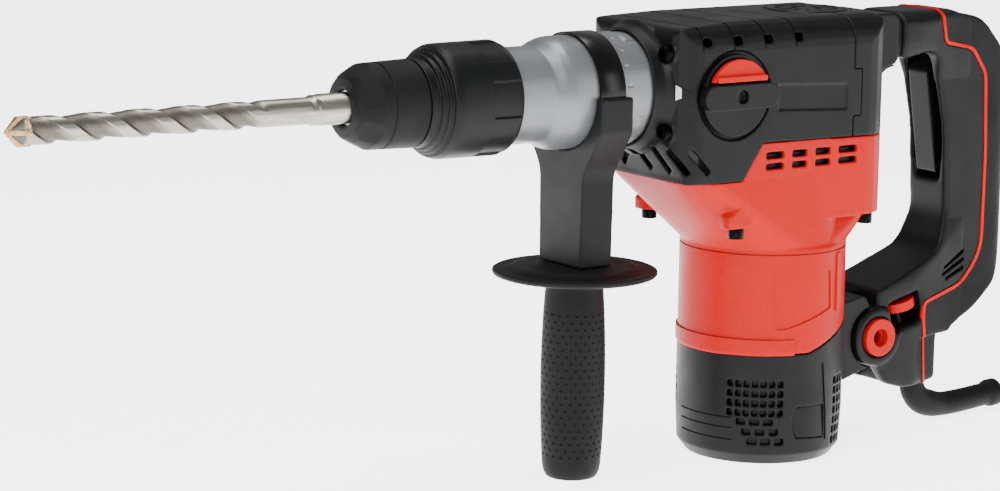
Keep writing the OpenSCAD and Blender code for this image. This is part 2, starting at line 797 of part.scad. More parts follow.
module impact_bolt() color(steel)
    turned([[-196, 0], [-196, 11], [-195, 12], [-175, 12], [-175, 16.6], [-160, 16.6],
        [-158, 10], [-134, 10], [-134, 0]]);

// ---------------------------------------------------------------- bit

module drill_bit() color(grey)
    difference() {
        union() {
            translate([0, 0, spindle_z]) rotate([0, 90, 0])
                translate([0, 0, bit_tip + 15])
                    linear_extrude(131, twist = -131 / 27 * 180, slices = 70)
                        polygon([for (i = [0:19]) let (a = 18 * i)
                            (bit_r - 1.9 * pow(abs(sin(a)), 3)) * [cos(a), sin(a)]]);
            turned([[-369, 0], [-369, 7.5], [-329, 7.6], [-327, 8.4], [-322, shank_r],
                [-208, shank_r], [-208, 0]]);
        }
        for (s = [-1, 1]) rod_x(0, spindle_z + s * 10.9, -248, -212, 3.9);
    }

module carbide_tip() color("#c9965a")
    translate([0, 0, spindle_z]) rotate([0, 90, 0]) {
        translate([0, 0, bit_tip + 5]) cylinder(h = 10, r1 = 4.4, r2 = bit_r - 1.6, $fn = 32);
        rotate([90, 0, 0]) translate([0, 0, -1.6]) linear_extrude(3.2)
            polygon([[0, bit_tip], [bit_r, bit_tip + 6], [bit_r, bit_tip + 14.9],
                [-bit_r, bit_tip + 14.9], [-bit_r, bit_tip + 6]]);
    }

// ---------------------------------------------------------------- side handle

head_x = [side_x - 11.5, side_x + 11.5];
strap_in = collar_r + gap;
strap_out = strap_in + 1.5;

// Outline of the strap: half ring, straight legs and a V below the collar
function strap_outline(ri, ro, lift) = concat(
    [for (a = [0:10:180]) [ro * cos(a), spindle_z + lift + ro * sin(a)]],
    [[-ro, 207], [-9, 186], [9, 186], [ro, 207]]);

module strap_solid(grow, lift, x0, x1)
    difference() {
        prism_x(strap_outline(strap_in, strap_out + grow, lift), x0, x1);
        prism_x(concat(
            [for (a = [0:10:180])
                [(strap_in - grow) * cos(a), spindle_z + (strap_in - grow) * sin(a)]],
            [[-strap_in + grow, 209 + lift + grow * 3], [-8, 189 + lift + grow * 2],
             [8, 189 + lift + grow * 2], [strap_in - grow, 209 + lift + grow * 3]]), x0 - 1, x1 + 1);
    }

module handle_head() color(charcoal)
    difference() {
        prism_x(rounded([
            [-39.5, spindle_z, 1.5], [-39.5, 212, 8], [-22, 186, 20], [-21, 130, 1],
            [21, 130, 1], [22, 186, 20], [39.5, 212, 8], [39.5, spindle_z, 1.5]], 6),
            head_x[0], head_x[1]);
        tube_x(head_x[0] - 1, head_x[1] + 1, collar_r + gap);
        strap_solid(0.35, 3, side_x - 9.7, side_x + 9.7);
        box([side_x - 9.7, -strap_out - 0.3, 207], [side_x + 9.7, strap_out + 0.3, 240]);
        box([side_x - 9.7, -10, 183.5], [side_x + 9.7, 10, 200]);
        tube_z(120, 190, 4.3, 0, side_x);
    }

module clamp_strap() color(dark)
    difference() {
        strap_solid(0, 0, side_x - 9, side_x + 9);
        tube_z(180, 195, 4.02, 0, side_x);
    }

module tension_bolt() color(steel) {
    tube_z(60, 189, 4, 0, side_x);
    box([side_x - 6.5, -6.5, 189], [side_x + 6.5, 6.5, 194]);
}

module side_grip() color(dark)
    turned_z([
        [4 + fit, 58], [4 + fit, 129.7], [20, 129.7], [26, 127.5], [flange_r - 3, 126.2],
        [flange_r, 126.8], [flange_r, 125.2], [flange_r - 4, 124], [24, 122],
        [grip_r - 2.2, 119], [grip_r - 1.6, 110], [grip_r - 0.4, 84], [grip_r, 58],
        [grip_r - 0.6, 34], [grip_r - 1.6, 10], [grip_r - 2, 4], [grip_r - 5, 0],
        [0, 0], [0, 58]], side_x);

// ---------------------------------------------------------------- selector

module selector_knob() color(charcoal)
    difference() {
        union() {
            rod_y(sel[0], sel[1], -side_y - 1.5, -side_y + 1.2, 24.5);
            prism_y(rect(sel[0] - 28, sel[1] - 7.5, sel[0] + 28, sel[1] + 7.5, 7.4),
                -side_y - 8, -side_y - 1.4);
            rod_y(sel[0], sel[1], -side_y + 1, -34, 6);
            rod_y(sel[0] + 3.5, sel[1], -34.1, -31.8, 2);
        }
        rod_y(sel[0], sel[1], -side_y - 10, -side_y - 4, 4);
        intersection() {
            rod_y(sel[0], sel[1], -side_y - 3, -side_y + 0.6, 22.5);
            box([sel[0] - 30, -60, sel[1] + 8.4], [sel[0] + 30, -40, 270]);
        }
    }

module selector_button() color(red)
    intersection() {
        rod_y(sel[0], sel[1], -side_y - 5, -side_y - 1.8, 22);
        box([sel[0] - 30, -60, sel[1] + 8.8], [sel[0] + 30, -40, 270]);
    }

// ---------------------------------------------------------------- rear handle

// Line of the red stripe on the side of the handle, from the top down to the cord block
stripe_line = rounded([
    [121, 275, 0], [126, 250, 5], [152, 245, 12], [164, 228, 16], [166.5, 175, 60],
    [166, 112, 34], [150, 93, 20], [115, 84.5, 3], [114, 76, 3], [119, 31, 0]], 4);

// Path moved sideways by d, to its left for a positive d
function shifted(p, d) =
    let (n = len(p))
    [for (i = [0:n - 1])
        let (t = unit(p[min(i + 1, n - 1)] - p[max(i - 1, 0)]))
        p[i] + d * [-t.y, t.x]];

function reversed(p) = [for (i = [len(p) - 1:-1:0]) p[i]];

// Back of the D, from the cord block up and over to the upper arm
handle_back = rounded([
    [137, 31, 0], [138, 58, 3], [143, 65, 6], [163, 75, 30], [182, 92, 22], [190, 120, 30],
    [188, 170, 60], [183, 240, 26], [162, 264, 26], [140, 268, 0]], 6);

// Front of the D, from the upper arm's underside round the hand opening
// and along the lower arm to the cord block
handle_front = rounded([
    [handle_gap[1], 270, 0], [handle_gap[1], 240, 4], [120, 246, 10], [131, 196, 0],
    [134.5, 140, 30], [127, 117, 18], [88, 101, 6], [pivot.x, 96, 0], [pivot.x, 49, 0],
    [84, 35, 8], [98, 31, 0]], 6);

stripe_half = 1.2;

module cord_entry() tube_z(10, 62, 8.2, 0, boot_path[0].x);

// Width of the handle with its back and its top edges rounded over
module handle_width(t)
    intersection() {
        handle_taper(t);
        prism_z(rounded([[30, -30, 0], [130, -30, 0], [150, -grip_y + t, 0],
            [190 - t, -grip_y + t, 15], [190 - t, grip_y - t, 15], [150, grip_y - t, 0],
            [130, 30, 0], [30, 30, 0]]), 0, 300);
        prism_x(rounded([[-30, 0, 0], [30, 0, 0], [30, 262, 0], [arm_y - t - 8, 270.5 - t, 9],
            [-arm_y + t + 8, 270.5 - t, 9], [-30, 262, 0]]), 20, 210);
    }

// Wide arms that taper into the slimmer grip, and the rounded cord block
module handle_taper(t) {
    box([60, -grip_y + t, 62], [200, grip_y - t, 300]);
    prism_z(rounded([[40, -arm_y + t, 0], [108, -arm_y + t, 12], [137, -13 + t, 9],
        [137, 13 - t, 9], [108, arm_y - t, 12], [40, arm_y - t, 0]]), 10, 63);
    for (z = [[0, 62, 100, 136], [300, 299, 252, 226]]) intersection() {
        prism_z([[40, -arm_y + t], [104, -arm_y + t], [152, -grip_y + t],
            [152, grip_y - t], [104, arm_y - t], [40, arm_y - t]], min(z[1], z[3]), max(z[1], z[3]));
        prism_x([[-arm_y + t, z[0]], [-arm_y + t, z[2]], [-grip_y + t, z[3]],
            [grip_y - t, z[3]], [arm_y - t, z[2]], [arm_y - t, z[0]]], 40, 152);
    }
}

// Frame of the D-handle, with the pin of the trigger and the axle of the dial
module handle_frame() color(charcoal) {
    rod_y(trigger_pivot.x, trigger_pivot.y, -12, 12, 1.5 - fit);
    translate([dial.x, dial_y, dial.y]) rotate([0, -arm_slope, 0])
        translate([0, 0, -13]) cylinder(h = 19.5, r = 2.5 - fit, $fn = 32);
    handle_shell();
}

module handle_shell()
    difference() {
        union() {
            intersection() {
                prism_y(concat(reversed(handle_front), shifted(stripe_line, -stripe_half)),
                    -40, 40);
                handle_width(0);
            }
            rod_y(pivot.x, pivot.y, -28, 28, 19);
        }
        box([40, -15.5, 20], [96, 15.5, 86]);
        rod_y(pivot.x, pivot.y, -60, 60, 12.1);
        // trigger pocket and switch space
        box([100, -11, 161], [145, 11, 243]);
        box([126, -13, 172], [160, 13, 236]);
        // speed dial well
        translate([dial.x, dial_y, dial.y]) rotate([0, -arm_slope, 0])
            box([-15, -20, -12], [12.5, 15, 7]);
        cord_entry();
        // spring pocket
        rod_x(0, 256, 85, 104, 9);
    }

module handle_stripe() color(red)
    intersection() {
        prism_y(concat(shifted(stripe_line, stripe_half - 0.05),
            reversed(shifted(stripe_line, 0.05 - stripe_half))), -40, 40);
        handle_width(-0.6);
        union() {
            box([60, -40, 62], [200, 40, 300]);
            difference() {
                box([60, -40, 0], [200, 40, 62]);
                cord_entry();
            }
        }
    }

module handle_overmould() color(dark)
    difference() {
        intersection() {
            prism_y(concat(shifted(stripe_line, stripe_half), handle_back), -40, 40);
            handle_width(0);
        }
        cord_entry();
    }

module pivot_pin() color(red)
    difference() {
        union() {
            rod_y(pivot.x, pivot.y, -29, 29, 8);
            both_sides() rod_y(pivot.x, pivot.y, 15.7, 29.5, 12);
        }
        both_sides() rod_y(pivot.x, pivot.y, 24, 31, 5.6);
        both_sides() translate([pivot.x, 25, pivot.y]) rotate([90, 0, 0])
            cylinder(h = 7, r = 4.6, $fn = 6);
    }

module switch_body() color(dark) {
    box([146, -10, 176], [158, 10, 228]);
    box([143.5, -4, 188], [146.1, 4, 200]);
}

trigger_pivot = [138.5, 236];

module trigger() color(dark)
    difference() {
        prism_y(rounded([[122.5, 230, 5], [128, 240, 3], [142, 241, 3], [142, 231, 3],
                [139, 196, 2], [139, 167, 2], [133, 163.5, 2]]), -9, 9);
        rod_y(trigger_pivot.x, trigger_pivot.y, -20, 20, 1.5);
    }

module speed_dial() color(red)
    translate([dial.x, dial_y, dial.y]) rotate([0, -arm_slope, 0]) difference() {
        translate([0, 0, -1.6]) cylinder(h = 6, r = 12, $fn = 64);
        cylinder(h = 12, r = 2.5, center = true, $fn = 24);
        for (i = [0:23]) rotate([0, 0, i * 15])
            translate([12.3, 0, -5]) cylinder(h = 10, r = 0.7, $fn = 4);
    }

module bellows() color(dark)
    difference() {
        prism_x(rect(-arm_y + 3, 242, arm_y - 3, 268, 6), handle_gap[0] + 2.3,
            handle_gap[1] - 0.3);
        prism_x(rect(-arm_y + 8, 247, arm_y - 8, 263, 4), handle_gap[0],
            handle_gap[1] + 2);
    }

module damper_spring() color(steel) {
    steps = 60;
    spring_x = handle_gap[0] + 2.9;
    sweep([for (i = [0:steps]) let (a = 360 * i / 12)
        [spring_x + 16.4 * i / steps, 6 * cos(a), 256 + 6 * sin(a)]], 0.9, 6, [1, 0, 0]);
}

// ---------------------------------------------------------------- cord

boot_path = [
    [126, 0, 52], [126, 0, 40], [126.5, 0, 30], [129, 0, 21], [135, 0, 14.5],
    [144, 0, 11], [154, 0, 9.6], [166, 0, 9.8], [178, 0, 10.6], [190, 0, 11.6],
    [200, 0, 12.4]];

cord_path = [
    [200.4, 0, 12.4], [210, 0.3, 12.6], [220, 1.2, 11.2], [230, 3.2, 8.4], [240, 6.2, 5.8],
    [250, 10, 4.4], [260, 14.4, 4.2], [270, 18.8, 4.2], [280, 22.8, 4.2], [290, 26, 4.2],
    [304, 28, 4.2]];

coil_centre = [304, -28];
coil_r = 48;
coil_w = 3 * cord_d;
coil_h = 4 * cord_d;
plug_z = coil_h + 13.6;

module cord_boot() color(dark)
    sweep(boot_path, [7.8, 7.8, 7.9, 8.6, 8.8, 8.6, 8.2, 7.8, 7.5, 7.6, 9], 12, [0, 1, 0]);

module power_cord() color(dark) sweep(cord_path, cord_d / 2, 10, [0, 1, 0]);

module cord_coil() color(dark)
    tube_z(0.2, 0.2 + coil_h, coil_r + coil_w / 2, coil_r - coil_w / 2,
        coil_centre.x, coil_centre.y);

module plug() color(dark)
    translate([coil_centre.x, coil_centre.y + 44, plug_z]) rotate([0, 90, 0]) {
        cylinder(h = 32, r = 13, $fn = 48);
        translate([0, 0, -14]) cylinder(h = 14.1, r1 = 6, r2 = 11, $fn = 32);
        for (s = [-1, 1]) translate([0, s * 9.5, 32]) cylinder(h = 19, r = 2.4, $fn = 24);
    }

// ---------------------------------------------------------------- output

gear_cover();
rear_cover();
motor_housing();
motor_end_cap();
gearbox_case();
front_barrel();
crank_cap();
index_pointer();
cover_screws();
motor_screws();
pivot_bracket();
field_core();
field_coils();
brush_holders();
carbon_brushes();
brush_caps();
armature_bearings();
spindle_bearings();
gear_bearings();
armature_shaft();
armature_core();
commutator();
cooling_fan();
intermediate_gear();
bevel_pinion();
crank_gear();
crankshaft();
piston();
wrist_pin();
connecting_rod();
hammer_cylinder();
bevel_ring_gear();
tool_holder();
dust_cap();
lock_rollers();
lock_sleeve();
sleeve_spring();
striker();
impact_bolt();
drill_bit();
carbide_tip();
handle_head();
clamp_strap();
tension_bolt();
side_grip();
selector_knob();
selector_button();
handle_frame();
handle_overmould();
handle_stripe();
pivot_pin();
switch_body();
trigger();
speed_dial();
bellows();
damper_spring();
cord_boot();
power_cord();
cord_coil();
plug();
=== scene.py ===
"""Looks of the rotary hammer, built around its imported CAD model. Sizes are in millimetres."""

import json
import math

import bmesh
import bpy
from mathutils import Matrix, Vector

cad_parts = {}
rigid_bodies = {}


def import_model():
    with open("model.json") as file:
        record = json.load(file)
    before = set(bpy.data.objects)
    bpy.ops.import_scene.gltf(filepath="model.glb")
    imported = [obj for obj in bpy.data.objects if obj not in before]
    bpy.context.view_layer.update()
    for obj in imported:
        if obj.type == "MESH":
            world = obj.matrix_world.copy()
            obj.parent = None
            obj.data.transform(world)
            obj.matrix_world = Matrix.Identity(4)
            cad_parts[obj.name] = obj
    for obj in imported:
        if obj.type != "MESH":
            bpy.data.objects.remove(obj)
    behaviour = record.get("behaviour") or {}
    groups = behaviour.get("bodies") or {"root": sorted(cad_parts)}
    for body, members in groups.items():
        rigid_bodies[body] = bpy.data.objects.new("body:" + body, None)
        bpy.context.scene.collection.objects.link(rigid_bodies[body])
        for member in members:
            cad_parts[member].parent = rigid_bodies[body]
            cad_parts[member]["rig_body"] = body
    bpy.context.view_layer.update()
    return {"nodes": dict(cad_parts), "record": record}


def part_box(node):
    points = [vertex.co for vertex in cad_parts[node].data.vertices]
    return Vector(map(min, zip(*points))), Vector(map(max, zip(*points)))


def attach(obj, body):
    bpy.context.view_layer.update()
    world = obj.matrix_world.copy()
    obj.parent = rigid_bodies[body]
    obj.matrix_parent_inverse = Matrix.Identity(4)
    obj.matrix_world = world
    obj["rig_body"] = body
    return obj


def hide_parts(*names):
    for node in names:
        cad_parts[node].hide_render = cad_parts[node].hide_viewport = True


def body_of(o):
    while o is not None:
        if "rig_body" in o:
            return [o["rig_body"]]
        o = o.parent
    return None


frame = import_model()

MM = 0.001
AXIS_Z = 233           # height of the bit, the chuck and the barrel
SPINDLE = (0, AXIS_Z)
nodes = frame["nodes"]


def link(name, data):
    made = bpy.data.objects.new(name, data)
    bpy.context.scene.collection.objects.link(made)
    return made


# ---------------------------------------------------------------- camera

CAMERA_PLACE = (-1238.19, -1518.08, 473.47)
CAMERA_YAW = -0.6011
CAMERA_PITCH = 0.1765
CAMERA_ROLL = 0.0154
CAMERA_LENS = 115.2
SENSOR_WIDTH = 36


def add_camera():
    """Camera at the reference view. Yaw turns it from +Y towards +X, pitch tips it down."""
    ahead = Vector((
        -math.sin(CAMERA_YAW) * math.cos(CAMERA_PITCH),
        math.cos(CAMERA_YAW) * math.cos(CAMERA_PITCH),
        -math.sin(CAMERA_PITCH)))
    level = Vector((math.cos(CAMERA_YAW), math.sin(CAMERA_YAW), 0))
    upright = level.cross(ahead)
    right = math.cos(CAMERA_ROLL) * level + math.sin(CAMERA_ROLL) * upright
    up = -math.sin(CAMERA_ROLL) * level + math.cos(CAMERA_ROLL) * upright
    data = bpy.data.cameras.new("camera")
    data.lens = CAMERA_LENS
    data.sensor_width = SENSOR_WIDTH
    data.clip_start = 0.01
    data.clip_end = 100
    camera = link("camera", data)
    turn = Matrix((right, up, -ahead)).transposed()
    camera.matrix_world = Matrix.Translation(Vector(CAMERA_PLACE) * MM) @ turn.to_4x4()
    bpy.context.scene.camera = camera


add_camera()


# ---------------------------------------------------------------- shape helpers

def mesh_of(name, points, faces, crease=35):
    """Mesh object from points in millimetres, smooth except at edges sharper than crease."""
    mesh = bpy.data.meshes.new(name)
    mesh.from_pydata([(x * MM, y * MM, z * MM) for x, y, z in points], [], faces)
    mesh.validate()
    made = link(name, mesh)
    tidy(made, crease)
    return made


def tidy(piece, crease=35):
    """Points every face outwards and shades it smooth up to the crease angle."""
    work = bmesh.new()
    work.from_mesh(piece.data)
    bmesh.ops.recalc_face_normals(work, faces=work.faces)
    work.to_mesh(piece.data)
    work.free()
    piece.data.shade_smooth()
    piece.data.set_sharp_from_angle(angle=math.radians(crease))


def arc(centre, radius, start, end, steps):
    """Points of a circular arc in a plane, from start to end degrees."""
    turns = [math.radians(start + (end - start) * i / steps) for i in range(steps + 1)]
    return [(centre[0] + radius * math.cos(t), centre[1] + radius * math.sin(t)) for t in turns]


def rounded(corners, steps=6):
    """Closed outline from (a, b, radius) corners."""
    outline = []
    count = len(corners)
    for i, (a, b, radius) in enumerate(corners):
        here = Vector((a, b))
        if radius == 0:
            outline.append((a, b))
            continue
        back = (Vector(corners[i - 1][:2]) - here).normalized()
        on = (Vector(corners[(i + 1) % count][:2]) - here).normalized()
        half = back.angle(on) / 2
        middle = here + (back + on).normalized() * (radius / math.sin(half))
        first = here + back * (radius / math.tan(half)) - middle
        last = here + on * (radius / math.tan(half)) - middle
        start = math.atan2(first.y, first.x)
        sweep = math.atan2(first.x * last.y - first.y * last.x, first.dot(last))
        for k in range(steps + 1):
            t = start + sweep * k / steps
            outline.append((middle.x + radius * math.cos(t), middle.y + radius * math.sin(t)))
    return outline


def rectangle(a0, b0, a1, b1, radius=0, steps=5):
    return rounded([(a0, b0, radius), (a1, b0, radius), (a1, b1, radius), (a0, b1, radius)], steps)


def put(axis, a, b, along):
    """Point from its place in the plane square to an axis: YZ for x, XZ for y, XY for z."""
    if axis == "x":
        return (along, a, b)
    if axis == "y":
        return (a, along, b)
    return (a, b, along)


def prism(name, outline, low, high, axis):
    """Straight solid with its outline square to the axis, from low to high."""
    count = len(outline)
    points = [put(axis, a, b, low) for a, b in outline]
    points += [put(axis, a, b, high) for a, b in outline]
    faces = [list(range(count)), list(range(2 * count - 1, count - 1, -1))]
    faces += [(i, (i + 1) % count, (i + 1) % count + count, i + count) for i in range(count)]
    return mesh_of(name, points, faces)


def box(name, low, high):
    """Block between two opposite corners."""
    return prism(name, rectangle(low[0], low[1], high[0], high[1]), low[2], high[2], "z")


ON_AXIS = 1e-6         # a smaller radius counts as a point on the axis


def lathe(name, profile, axis="x", centre=(0, 0), segments=96, crease=30):
    """Turned part from a closed profile of (station, radius). Radius 0 lies on the axis."""
    points, rings = [], []
    for station, radius in profile:
        if radius < ON_AXIS:
            rings.append([len(points)] * segments)
            points.append(put(axis, centre[0], centre[1], station))
            continue
        rings.append(list(range(len(points), len(points) + segments)))
        for k in range(segments):
            t = 2 * math.pi * k / segments
            points.append(put(axis, centre[0] + radius * math.cos(t),
                              centre[1] + radius * math.sin(t), station))
    faces = []
    count = len(rings)
    for i in range(count):
        one, two = rings[i], rings[(i + 1) % count]
        if profile[i][1] < ON_AXIS and profile[(i + 1) % count][1] < ON_AXIS:
            continue
        for k in range(segments):
            n = (k + 1) % segments
            face = []
            for v in (one[k], one[n], two[n], two[k]):
                if v not in face:
                    face.append(v)
            faces.append(face)
    return mesh_of(name, points, faces, crease)


def soft_profile(corners, steps=4):
    """Closed profile for lathe() from (station, radius, fillet) corners."""
    return rounded(corners, steps)


def rod(name, centre, radius, low, high, axis, segments=48):
    return lathe(name, [(low, 0), (low, radius), (high, radius), (high, 0)], axis, centre, segments)


def tube(name, path, radii, sides=20, side=(0, 1, 0)):
    """Tube along path points with one radius for each point, closed at both ends."""
    count = len(path)
    path = [Vector(p) for p in path]
    points = []
    for i, here in enumerate(path):
        ahead = (path[min(i + 1, count - 1)] - path[max(i - 1, 0)]).normalized()
        across = ahead.cross(Vector(side)).normalized()
        up = ahead.cross(across)
        for k in range(sides):
            t = 2 * math.pi * k / sides
            points.append(tuple(here + radii[i] * (math.cos(t) * across + math.sin(t) * up)))
    faces = [list(range(sides)), list(range(count * sides - 1, (count - 1) * sides - 1, -1))]
    for i in range(count - 1):
        for k in range(sides):
            a, b = i * sides + k, i * sides + (k + 1) % sides
            faces.append((a, a + sides, b + sides, b))
    return mesh_of(name, points, faces)


def smooth_path(points, spacing):
    """Dense points of a smooth curve through the given ones."""
    line = [Vector(p) for p in points]
    line = [line[0] * 2 - line[1]] + line + [line[-1] * 2 - line[-2]]
    made = []
    for i in range(1, len(line) - 2):
        a, b, c, d = line[i - 1:i + 3]
        steps = max(1, round((c - b).length / spacing))
        for k in range(steps):
            t = k / steps
            made.append(0.5 * (2 * b + (c - a) * t + (2 * a - 5 * b + 4 * c - d) * t ** 2
                               + (3 * b - a - 3 * c + d) * t ** 3))
    return made + [line[-2]]


def settle(piece):
    """Applies the piece's modifiers to its mesh."""
    graph = bpy.context.evaluated_depsgraph_get()
    mesh = bpy.data.meshes.new_from_object(piece.evaluated_get(graph), depsgraph=graph)
    piece.modifiers.clear()
    piece.data = mesh


def combine(base, other, how):
    """Cuts, joins or intersects base with other, which is used up."""
    change = base.modifiers.new("combine", "BOOLEAN")
    change.operation = how
    change.solver = "MANIFOLD"
    change.object = other
    settle(base)
    bpy.data.objects.remove(other)
    return base


def cut(base, *others):
    for other in others:
        combine(base, other, "DIFFERENCE")
    return base


def join(base, *others):
    for other in others:
        combine(base, other, "UNION")
    return base


def keep_inside(base, other):
    return combine(base, other, "INTERSECT")


def gather(name, parts):
    """One object out of several separate ones, without any boolean."""
    work = bmesh.new()
    for part in parts:
        work.from_mesh(part.data)
        bpy.data.objects.remove(part)
    mesh = bpy.data.meshes.new(name)
    work.to_mesh(mesh)
    work.free()
    made = link(name, mesh)
    tidy(made)
    return made


WELD = 1e-6            # metres


def copy_of(node, name):
    """Working copy of a CAD node's mesh with its split corners welded."""
    mesh = nodes[node].data.copy()
    mesh.materials.clear()
    work = bmesh.new()
    work.from_mesh(mesh)
    bmesh.ops.remove_doubles(work, verts=work.verts, dist=WELD)
    work.to_mesh(mesh)
    work.free()
    return link(name, mesh)


def soften(piece, voxel, passes, keep=1.0):
    """Rounds every edge: remesh at the voxel size, smooth, then thin the mesh out."""
    skin = piece.modifiers.new("skin", "REMESH")
    skin.mode = "VOXEL"
    skin.voxel_size = voxel * MM
    blur = piece.modifiers.new("blur", "SMOOTH")
    blur.factor = 0.5
    blur.iterations = passes
    if keep < 1:
        thin = piece.modifiers.new("thin", "DECIMATE")
        thin.ratio = keep
    settle(piece)
    return piece


def soft_copy(node, name, voxel, passes, keep=1.0):
    """Softened copy of a CAD node's mesh."""
    return soften(copy_of(node, name), voxel, passes, keep)


def bevel(piece, width, segments=2, angle=40):
    """Rounds the sharp edges of a simple mesh."""
    change = piece.modifiers.new("bevel", "BEVEL")
    change.width = width * MM
    change.segments = segments
    change.limit_method = "ANGLE"
    change.angle_limit = math.radians(angle)
    change.use_clamp_overlap = True
    settle(piece)
    piece.data.shade_smooth()
    piece.data.set_sharp_from_angle(angle=math.radians(angle))
    return piece


def offset(piece, distance):
    """Copy of a piece with its skin moved outwards, or inwards for a negative distance."""
    made = link("offset", piece.data.copy())
    moved = [v.co + v.normal * distance * MM for v in made.data.vertices]
    for vertex, place in zip(made.data.vertices, moved):
        vertex.co = place
    return made


def relief(piece, height, *slabs):
    """Raises the skin by height where it runs through the slabs, or sinks it if negative."""
    mask = gather("relief", slabs)
    if height > 0:
        return join(piece, keep_inside(mask, offset(piece, height)))
    return cut(piece, cut(mask, offset(piece, height)))


def sector(name, radius, start, end, low, high, axis, centre=(0, 0), inner=0.0):
    """Slice of a ring between two angles in degrees."""
    outline = arc(centre, radius, start, end, 16)
    outline += arc(centre, inner, end, start, 16) if inner else [centre]
    return prism(name, outline, low, high, axis)


def finish_piece(piece, body, slot, *replaced, crease=35):
    """Rides on its body, takes its slot's material and stands for its CAD nodes."""
    piece.data.shade_smooth()
    piece.data.set_sharp_from_angle(angle=math.radians(crease))
    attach(piece, body)
    if replaced:
        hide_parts(*replaced)
    dress(piece, slot)
    return piece


def record_slot(node):
    """Material slot of a CAD node."""
    return next(p["material_slot"] for p in frame["record"]["subparts"] if p["node"] == node)


def stand_for(node, piece, crease=35):
    """Finishes a piece that takes one CAD node's place, on its body and with its slot."""
    return finish_piece(piece, body_of(nodes[node])[0], record_slot(node), node, crease=crease)


# ---------------------------------------------------------------- materials

def linear(code):
    """Linear RGBA of an sRGB hex colour."""
    parts = [int(code[i:i + 2], 16) / 255 for i in (1, 3, 5)]
    return [p / 12.92 if p <= 0.04045 else ((p + 0.055) / 1.055) ** 2.4 for p in parts] + [1]


class Paint:
    """A Principled material whose textures run in the piece's own space."""

    def __init__(self, name, metallic=0.0, **sockets):
        self.material = bpy.data.materials.new(name)
        self.material.use_nodes = True
        self.tree = self.material.node_tree
        self.shader = self.tree.nodes["Principled BSDF"]
        self.shader.inputs["Metallic"].default_value = metallic
        for socket, value in sockets.items():
            self.shader.inputs[socket.replace("_", " ")].default_value = value
        self.place = self.tree.nodes.new("ShaderNodeTexCoord").outputs["Object"]
        self.normal = None

    def add(self, kind, **values):
        node = self.tree.nodes.new(kind)
        for key, value in values.items():
            setattr(node, key, value)
        return node

    def wire(self, source, target):
        self.tree.links.new(source, target)

    def noise(self, size, detail=3.0, rough=0.55, stretch=(1, 1, 1), warp=0.0):
        """Noise whose features are about size millimetres across."""
        mapping = self.add("ShaderNodeMapping")
        mapping.inputs["Scale"].default_value = stretch
        self.wire(self.place, mapping.inputs["Vector"])
        node = self.add("ShaderNodeTexNoise")
        node.inputs["Scale"].default_value = 1 / (size * MM)
        node.inputs["Detail"].default_value = detail
        node.inputs["Roughness"].default_value = rough
        node.inputs["Distortion"].default_value = warp
        self.wire(mapping.outputs["Vector"], node.inputs["Vector"])
        return node.outputs["Fac"]

    def spread(self, source, low, high, start=0.3, end=0.7):
        """Maps start..end of a value onto low..high."""
        node = self.add("ShaderNodeMapRange")
        for socket, value in zip(("From Min", "From Max", "To Min", "To Max"),
                                 (start, end, low, high)):
            node.inputs[socket].default_value = value
        self.wire(source, node.inputs["Value"])
        return node.outputs["Result"]

    def ramp(self, source, *stops):
        """Colours along a value, from (position, hex colour) stops."""
        node = self.add("ShaderNodeValToRGB")
        elements = node.color_ramp.elements
        while len(elements) < len(stops):
            elements.new(0.5)
        for element, (position, code) in zip(elements, stops):
            element.position = position
            element.color = linear(code)
        self.wire(source, node.inputs["Fac"])
        return node.outputs["Color"]

    def blend(self, how, one, two, share):
        node = self.add("ShaderNodeMix", data_type="RGBA", blend_type=how)
        if isinstance(share, float):
            node.inputs["Factor"].default_value = share
        else:
            self.wire(share, node.inputs["Factor"])
        self.wire(one, node.inputs["A"])
        self.wire(two, node.inputs["B"])
        return node.outputs["Result"]

    def colour(self, source):
        self.wire(source, self.shader.inputs["Base Color"])

    def roughness(self, source):
        self.wire(source, self.shader.inputs["Roughness"])

    def bump(self, source, depth, strength=1.0):
        """Adds relief of about depth millimetres on top of what is there."""
        node = self.add("ShaderNodeBump")
        node.inputs["Strength"].default_value = strength
        node.inputs["Distance"].default_value = depth * MM
        self.wire(source, node.inputs["Height"])
        if self.normal is not None:
            self.wire(self.normal, node.inputs["Normal"])
        self.normal = node.outputs["Normal"]
        self.wire(self.normal, self.shader.inputs["Normal"])

    def reach(self, axis, centre):
        """Distance from a line along x or z, in metres: the radius of a turned part."""
        mapping = self.add("ShaderNodeMapping")
        mapping.inputs["Location"].default_value = [-c * MM for c in centre]
        mapping.inputs["Scale"].default_value = (0, 1, 1) if axis == "x" else (1, 1, 0)
        self.wire(self.place, mapping.inputs["Vector"])
        node = self.add("ShaderNodeVectorMath", operation="LENGTH")
        self.wire(mapping.outputs["Vector"], node.inputs[0])
        return node.outputs["Value"]


def moulded(name, dark, light, rough=(0.42, 0.58), grain=0.35, depth=0.02, **sockets):
    """Injection-moulded plastic: spark-eroded grain, faint mottling and handling sheen."""
    paint = Paint(name, **sockets)
    paint.colour(paint.ramp(paint.noise(2.2, 4), (0.3, dark), (0.7, light)))
    paint.roughness(paint.spread(paint.noise(26, 3), *rough))
    paint.bump(paint.noise(grain, 2), depth, 0.6)
    paint.bump(paint.noise(14, 2), 0.05, 0.25)
    return paint


def machined(name, dark, light, rough=(0.24, 0.4), stretch=(1, 14, 1), **sockets):
    """Bare metal with fine tool marks along one direction."""
    paint = Paint(name, metallic=1.0, **sockets)
    marks = paint.noise(5, 4, stretch=stretch)
    paint.colour(paint.ramp(marks, (0.3, dark), (0.7, light)))
    paint.roughness(paint.spread(paint.noise(9, 4), *rough))
    paint.bump(marks, 0.02, 0.4)
    return paint


